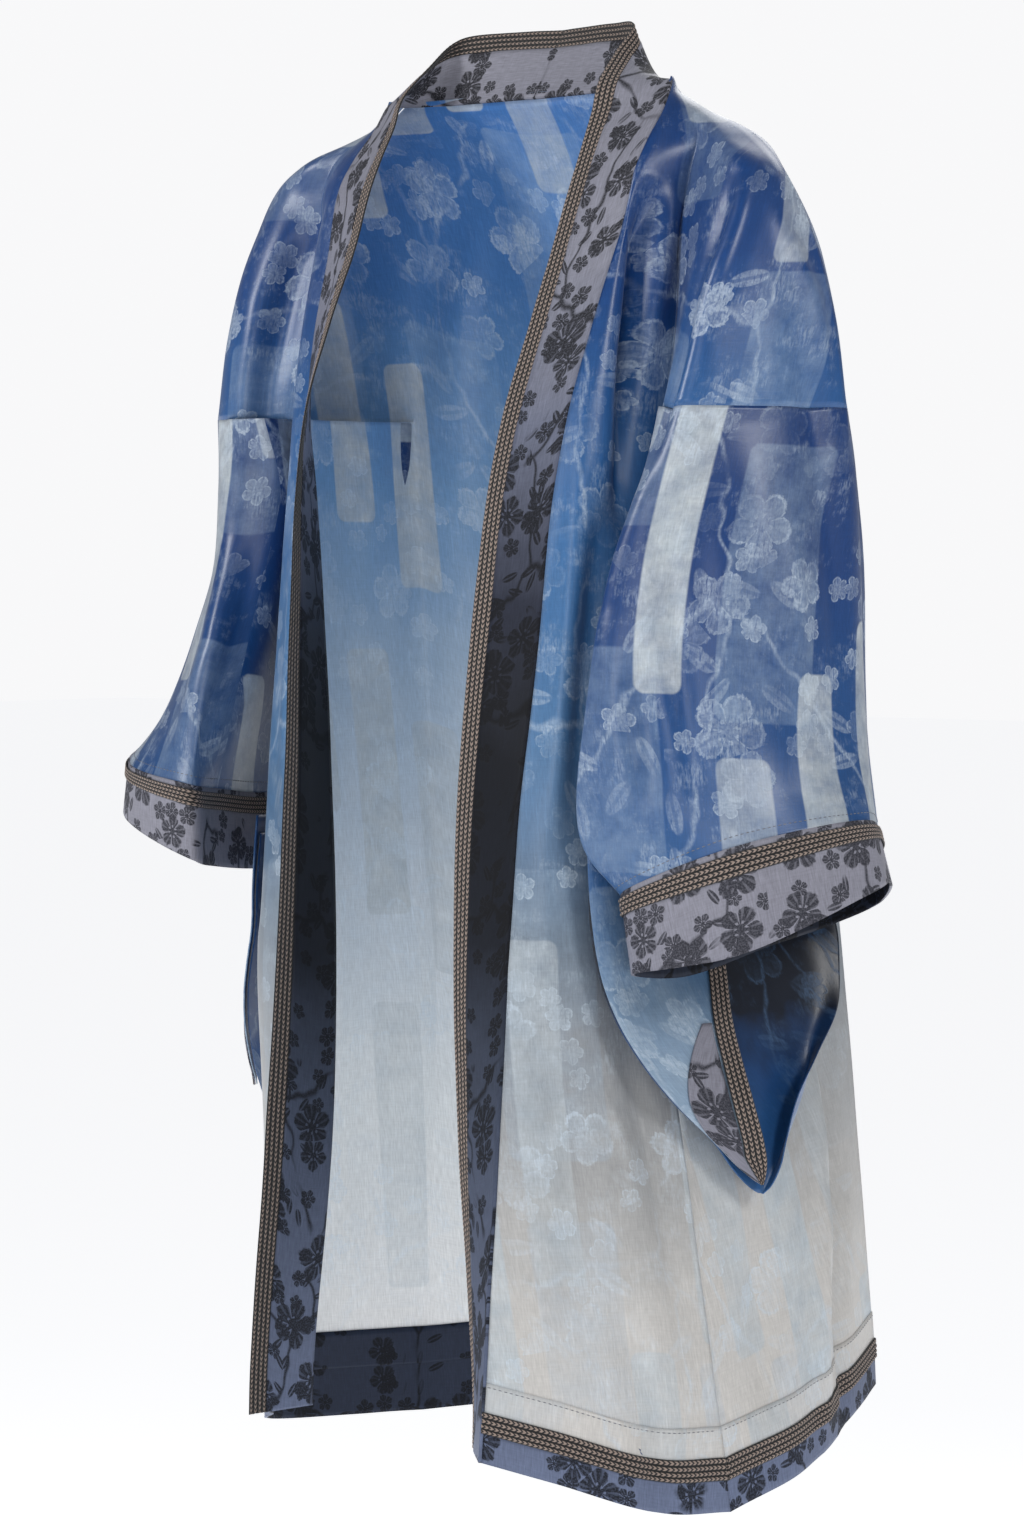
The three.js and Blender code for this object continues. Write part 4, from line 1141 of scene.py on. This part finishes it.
silk_sleeve = silk("printed silk, sleeves", SLEEVE_BLUE, 7.2, strips=0.5)
silk_bag = silk("printed silk, sleeve bags", [(-0.4, "173A68"), (-0.6, "1F4C84"), (-0.7, "2B5F98")], 2.8,
                strips=0.15)
# The hollow between a bag's leaves: painted shade, near black down to about 0.58 m and blue below.
silk_hollow_painted_shade = silk("printed silk, hollow with painted shade", [(-0.4, "0A1220"), (-0.575, "0D182B"), (-0.61, "1F4C84"),
                                            (-0.7, "2F66A0")], 3.9,
                   figure="4F749E", amount=0.4, strips=0.0, dark=0.7)
BORDER = [(0.04, "84848F"), (-0.12, "80818E"), (-0.22, "62677A"), (-0.32, "262A38"), (-0.40, "0F121A"),
          (-0.54, "141822"), (-0.63, "3D4557"), (-0.86, "66708A")]
grey = jacquard("grey jacquard, border", BORDER, "0C0D12", 2.2)
light_grey = jacquard("grey jacquard, cuffs", [(-0.3, "8C8C97"), (-0.7, "7C7C88")], "24252D", 8.4)
# Dark blue jacquard: the hem's own facing and inner side, and painted shade on the inner side of the cuffs.
navy_and_cuff_shade = jacquard("navy jacquard", [(-0.3, "1F2430"), (-0.9, "232B3D")], "080A10", 5.1)
plait = plait_material("braid")

# %% [markdown]
# ## Making the pieces
#
# The pieces are built in the order in which they would be sewn: panels, sleeves, border, hem, cuffs, and
# the bags of the sleeves last. Each stands for a plain solid, apart from the hem's facings and tucks,
# which are added.

# %% Panels and sleeves
WALL, BAND_WALL = 0.9, 1.9  # real silk is thin; a band is several layers
FACING_WALL, TUCK_WALL, WEDGE_WALL = 0.8, 0.6, 0.8
BAND = {"wall": BAND_WALL, "slot": "grey_jacquard"}
sides = [("left", left, lambda g: g), ("right", right, turned)]
for name, s, turn in sides:
    cloth(f"front_panel_{name}", turn(front_panel(s)), [silk_front, silk_inside], WALL, f"front_{name}")
    cloth(f"sleeve_panel_{name}", turn(sleeve_tube(s)), [silk_sleeve], WALL, f"sleeve_{name}")
cloth("back_panel", back_ring(LONG, cap=True), [silk_back, silk_inside], WALL, "back")

# %% Border, hem and cuffs
LAP = 0.03  # how far a band reaches over its seam, as a share of its own height
hem_rows = np.linspace(SEAM_ROW - LAP, HEM_ROW, 14)
for name, s, turn in sides:
    cloth(f"border_{name}", turn(border(s, BRAID_SHARE, 1 + LAP, 14, 340)), [grey, grey],
          stands_for=f"neckband_{name}", **BAND)
    cloth(f"hem_{name}", turn(front_hem(s, hem_rows)), [grey, navy_and_cuff_shade], stands_for=f"hem_band_{name}", **BAND)
    # A cuff's inner side takes the dark blue jacquard as painted shade inside the cuff.
    cloth(f"sleeve_cuff_{name}", turn(cuff_ring(s, -LAP, 1.0, 16)), [light_grey, navy_and_cuff_shade],
          stands_for=f"cuff_{name}", **BAND)
cloth("hem_back", back_ring(hem_rows), [grey, navy_and_cuff_shade], stands_for="hem_band_back", **BAND)

# %% Hem facings and tucks
# Inside, the hem is faced with navy cloth above the band. Outside, a tuck of silk runs along the band.
TUCK, FACING_TOP, UNDER_BAND = SEAM_ROW - 0.15, SEAM_ROW - 0.19, SEAM_ROW + 0.05
FACING_LIFT, TUCK_LIFT = -1.0, 0.75
facing_rows, tuck_rows = (np.linspace(top, UNDER_BAND, 9) for top in (FACING_TOP, TUCK))


def line_hem(name, facing, tuck, silk_cloth):
    """The facing inside and the tuck outside one stretch of the hem."""
    cloth(f"hem_facing_{name}", facing, [navy_and_cuff_shade], FACING_WALL, None, FACING_LIFT, "grey_jacquard")
    cloth(f"hem_tuck_{name}", tuck, [silk_cloth], TUCK_WALL, None, TUCK_LIFT)


for name, s, turn in sides:
    line_hem(name, turn(front_hem(s, facing_rows)), turn(front_hem(s, tuck_rows)), silk_front)
line_hem("back", back_ring(facing_rows), back_ring(tuck_rows), silk_back)

# %% Braids
CUFF_HEIGHT = 47
ON_BORDER, ON_BAND = -0.7, 1.25  # a braid's middle surface over the cloth beneath
braid_rows = np.linspace(SEAM_ROW + LAP, SEAM_ROW + HEM_BRAID / HEM_HEIGHT, 9)
cuff_braid_rows = np.linspace(LAP, CUFF_BRAID / CUFF_HEIGHT, 9)
for name, s, turn in sides:
    cuff_grid = surface(s["cuff"], across(8, 600), cuff_braid_rows, closed=True)
    for label, grid, axis, base in (
            ("neck_braid", border(s, 0, BRAID_SHARE, 9, 900)[0][0], 0, ON_BORDER),
            ("hem_braid", front_hem(s, braid_rows, 300)[0][0], 1, ON_BAND),
            ("cuff_braid", cuff_grid, 1, ON_BAND)):
        braid(f"{label}_plaits_{name}", one_side(turn, grid), axis, base, f"{label}_{name}")
braid("hem_braid_plaits_back", back_strip(braid_rows), 1, ON_BAND, "hem_braid_back")

# %% [markdown]
# ## Stitches
#
# A hem is caught up by a row of small stitches above the band, and each cuff is sewn down along its seam.
# A stitch is a short thread, thick in its middle, half sunk in the cloth. All stitches of a row are
# computed together: three rings of five points each, placed along the row.

# %% Rows of stitches
STITCH, STEP, THREAD = 2.1, 3.4, 0.32


def stitches(name, grid, height):
    """A row of stitches along the middle row of a grid of three rows, raised by a height along the
    cloth's normal."""
    path = grid[1]
    normal = np.cross(grid[2] - grid[0], np.gradient(path, axis=0))
    normal /= np.linalg.norm(normal, axis=1, keepdims=True)
    path = path + normal * (height + folds(path))[:, None]
    length = np.concatenate([[0], np.linalg.norm(np.diff(path, axis=0), axis=1).cumsum()])
    start = np.arange(STEP, length[-1] - STEP, STEP)
    at = start[:, None] + np.array([-0.5, 0, 0.5]) * STITCH
    spine, up = (np.stack([np.interp(at, length, of[:, k]) for k in range(3)], -1)
                 for of in (path, normal))
    forward = spine[:, 2:] - spine[:, :1]
    forward /= np.linalg.norm(forward, axis=2, keepdims=True)
    aside = np.cross(forward, up)
    turn_by = np.linspace(0, 2 * np.pi, 5, endpoint=False)[:, None]
    radius = THREAD * np.array([0.35, 1, 0.35])[None, :, None, None]
    rings = spine[:, :, None] + radius * (up[:, :, None] * np.cos(turn_by)
                                          + aside[:, :, None] * np.sin(turn_by))
    index = np.arange(rings[..., 0].size).reshape(rings.shape[:3])
    after = np.roll(index, -1, axis=2)
    walls = np.stack([index[:, :-1], after[:, :-1], after[:, 1:], index[:, 1:]], -1).reshape(-1, 4)
    ends = np.concatenate([index[:, 0, ::-1], index[:, 2]])
    mesh = bpy.data.meshes.new(name)
    mesh.from_pydata((rings.reshape(-1, 3) * MM).tolist(), [], walls.tolist() + ends.tolist())
    mesh.materials.append(thread_grey)
    obj = linked(name, mesh)
    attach(obj, "root")
    pieces[name] = obj
    print(f"{name}: {len(start)} stitches")


thread_grey, tree, _, place = new_material("grey thread")
finish(thread_grey, tree, blend(tree, noise(tree, place, 900.0), colour("4A4C55"), colour("8D8F96")),
       0.6, noise(tree, place, 2500.0), 0.3)
ON_HEM, ON_SLEEVE = 1.1, 0.5
around = np.array([-0.02, 0, 0.02])
tuck_seam, cuff_seam = TUCK + 0.02 + around, 4.86 + around
for name, s, turn in sides:
    stitches(f"hem_stitches_{name}", one_side(turn, surface(named(s, FLAT), across(3, 200), tuck_seam)),
             ON_HEM)
    stitches(f"cuff_stitches_{name}", one_side(turn, surface(s["sleeve"], across(8, 500), cuff_seam,
                                                             closed=True)), ON_SLEEVE)
stitches("hem_stitches_back", back_strip(tuck_seam), ON_HEM)

# %% [markdown]
# ## The sleeve bags
#
# Below the cuff each sleeve hangs down in a bag. Its outer leaf carries the grey wedge and the braid
# along its free edge. Its inner leaf turns forward at the back and leaves a hollow between the two; the
# hollow's darkness is painted shade on the inner leaf.

# %% Bags
def bag(place):
    """The outer and inner leaf of one bag as feature lines. A place is the shift outwards, the depth and
    level of the bag's upper tip, and what its depth and its length are multiplied by."""
    out, depth, deep, high, long = place
    first_y, first_z = DROP_FRONT["outline"][0][1], DROP_FRONT["z"][0]

    def lines(table, names):
        z = high + (np.array(table["z"], float) - first_z) * long
        columns = [np.array(table[name], float) for name in names.split()]
        return [line(np.stack([c[:, 0] + out, depth + (c[:, 1] - first_y) * deep, z], 1)) for c in columns]

    return lines(DROP_FRONT, "outline free"), lines(DROP_BACK, "outline inner turn lip")


def gathered(grid, v):
    """A leaf drawn in towards the sleeve at its upper corner and rounded off at its lower tip."""
    top = np.clip(1 - v[:, None] / 1.3, 0, 1)[..., None] ** 2
    grid = grid + top * np.linspace(1, 0, grid.shape[1])[:, None] ** 2 * (4.5, 6.0, 0)
    tip = np.sqrt(np.clip(1 - (np.clip(v - LAST + 0.7, 0, 1) / 0.7) ** 2, 0.02, 1))[:, None, None]
    spine = grid.mean(1, keepdims=True)
    return spine + (grid - spine) * tip


def between(grid, first, last, count):
    """Part of a leaf from one share of its width to another; the shares may differ from row to row."""
    u = first[:, None] + (last - first)[:, None] * np.linspace(0, 1, count)
    return grid[:, :1] + (grid[:, -1:] - grid[:, :1]) * u[..., None]


LAST = len(DROP_FRONT["z"]) - 1
ON_LEAF = 1.2  # middle of the wedge and the braid over the leaf
WEDGE_TOP = 3  # row where the wedge starts
v = np.linspace(0, LAST, 72)
low = v >= WEDGE_TOP
for name, s, turn in sides:
    leaf_lines, pouch_lines = bag(DROP_PLACE[name])
    leaf = gathered(surface(leaf_lines, across(1, 30), v), v)
    pouch = gathered(surface(pouch_lines, across(3, 64), v), v)
    share = np.minimum(0.6, DROP_BRAID / np.linalg.norm(leaf[:, -1] - leaf[:, 0], axis=1))
    cloth(f"bag_front_{name}", turn([(leaf, cloth_uv(leaf))]), [silk_sleeve, silk_bag], WALL,
          f"drop_front_{name}")
    # The inner leaf's outer face carries the hollow's painted shade.
    cloth(f"bag_back_{name}", turn([(pouch, cloth_uv(pouch))]), [silk_hollow_painted_shade, silk_bag], WALL,
          f"drop_back_{name}")
    inner = 0.98 - share[low]
    opened = np.minimum(1, (v[low] - WEDGE_TOP + 0.25) / (LAST - WEDGE_TOP - 1))
    wedge = between(leaf[low], inner - inner * opened, inner, 14)
    cloth(f"bag_wedge_{name}", turn([(wedge, cloth_uv(wedge))]), [light_grey], WEDGE_WALL,
          f"drop_band_{name}", ON_LEAF, "grey_jacquard")
    strip = between(leaf, 1 - share, np.full(len(v), 0.99), 9)
    braid(f"bag_braid_{name}", one_side(turn, strip), 0, ON_LEAF, f"drop_braid_{name}")

# %% [markdown]
# ## Floor and face count
#
# The floor is only a stage. At the end, the number of faces in all the pieces is printed.

# %% Floor
bpy.ops.mesh.primitive_plane_add(size=60, location=(0, 0, -1.6))
floor = bpy.context.active_object
floor.name = "floor"
floor_material, tree, _, place = new_material("pale floor")
finish(floor_material, tree, blend(tree, noise(tree, place, 3.0) * 0.1, colour("F3F4F6"), colour("E4E6EA")),
       0.8, noise(tree, place, 40.0), 0.05, Emission_Color=(0.95, 0.95, 0.96, 1), Emission_Strength=0.8)
floor.data.materials.append(floor_material)

# %% Face count
print("faces in all:", sum(len(p.data.polygons) for p in pieces.values()))
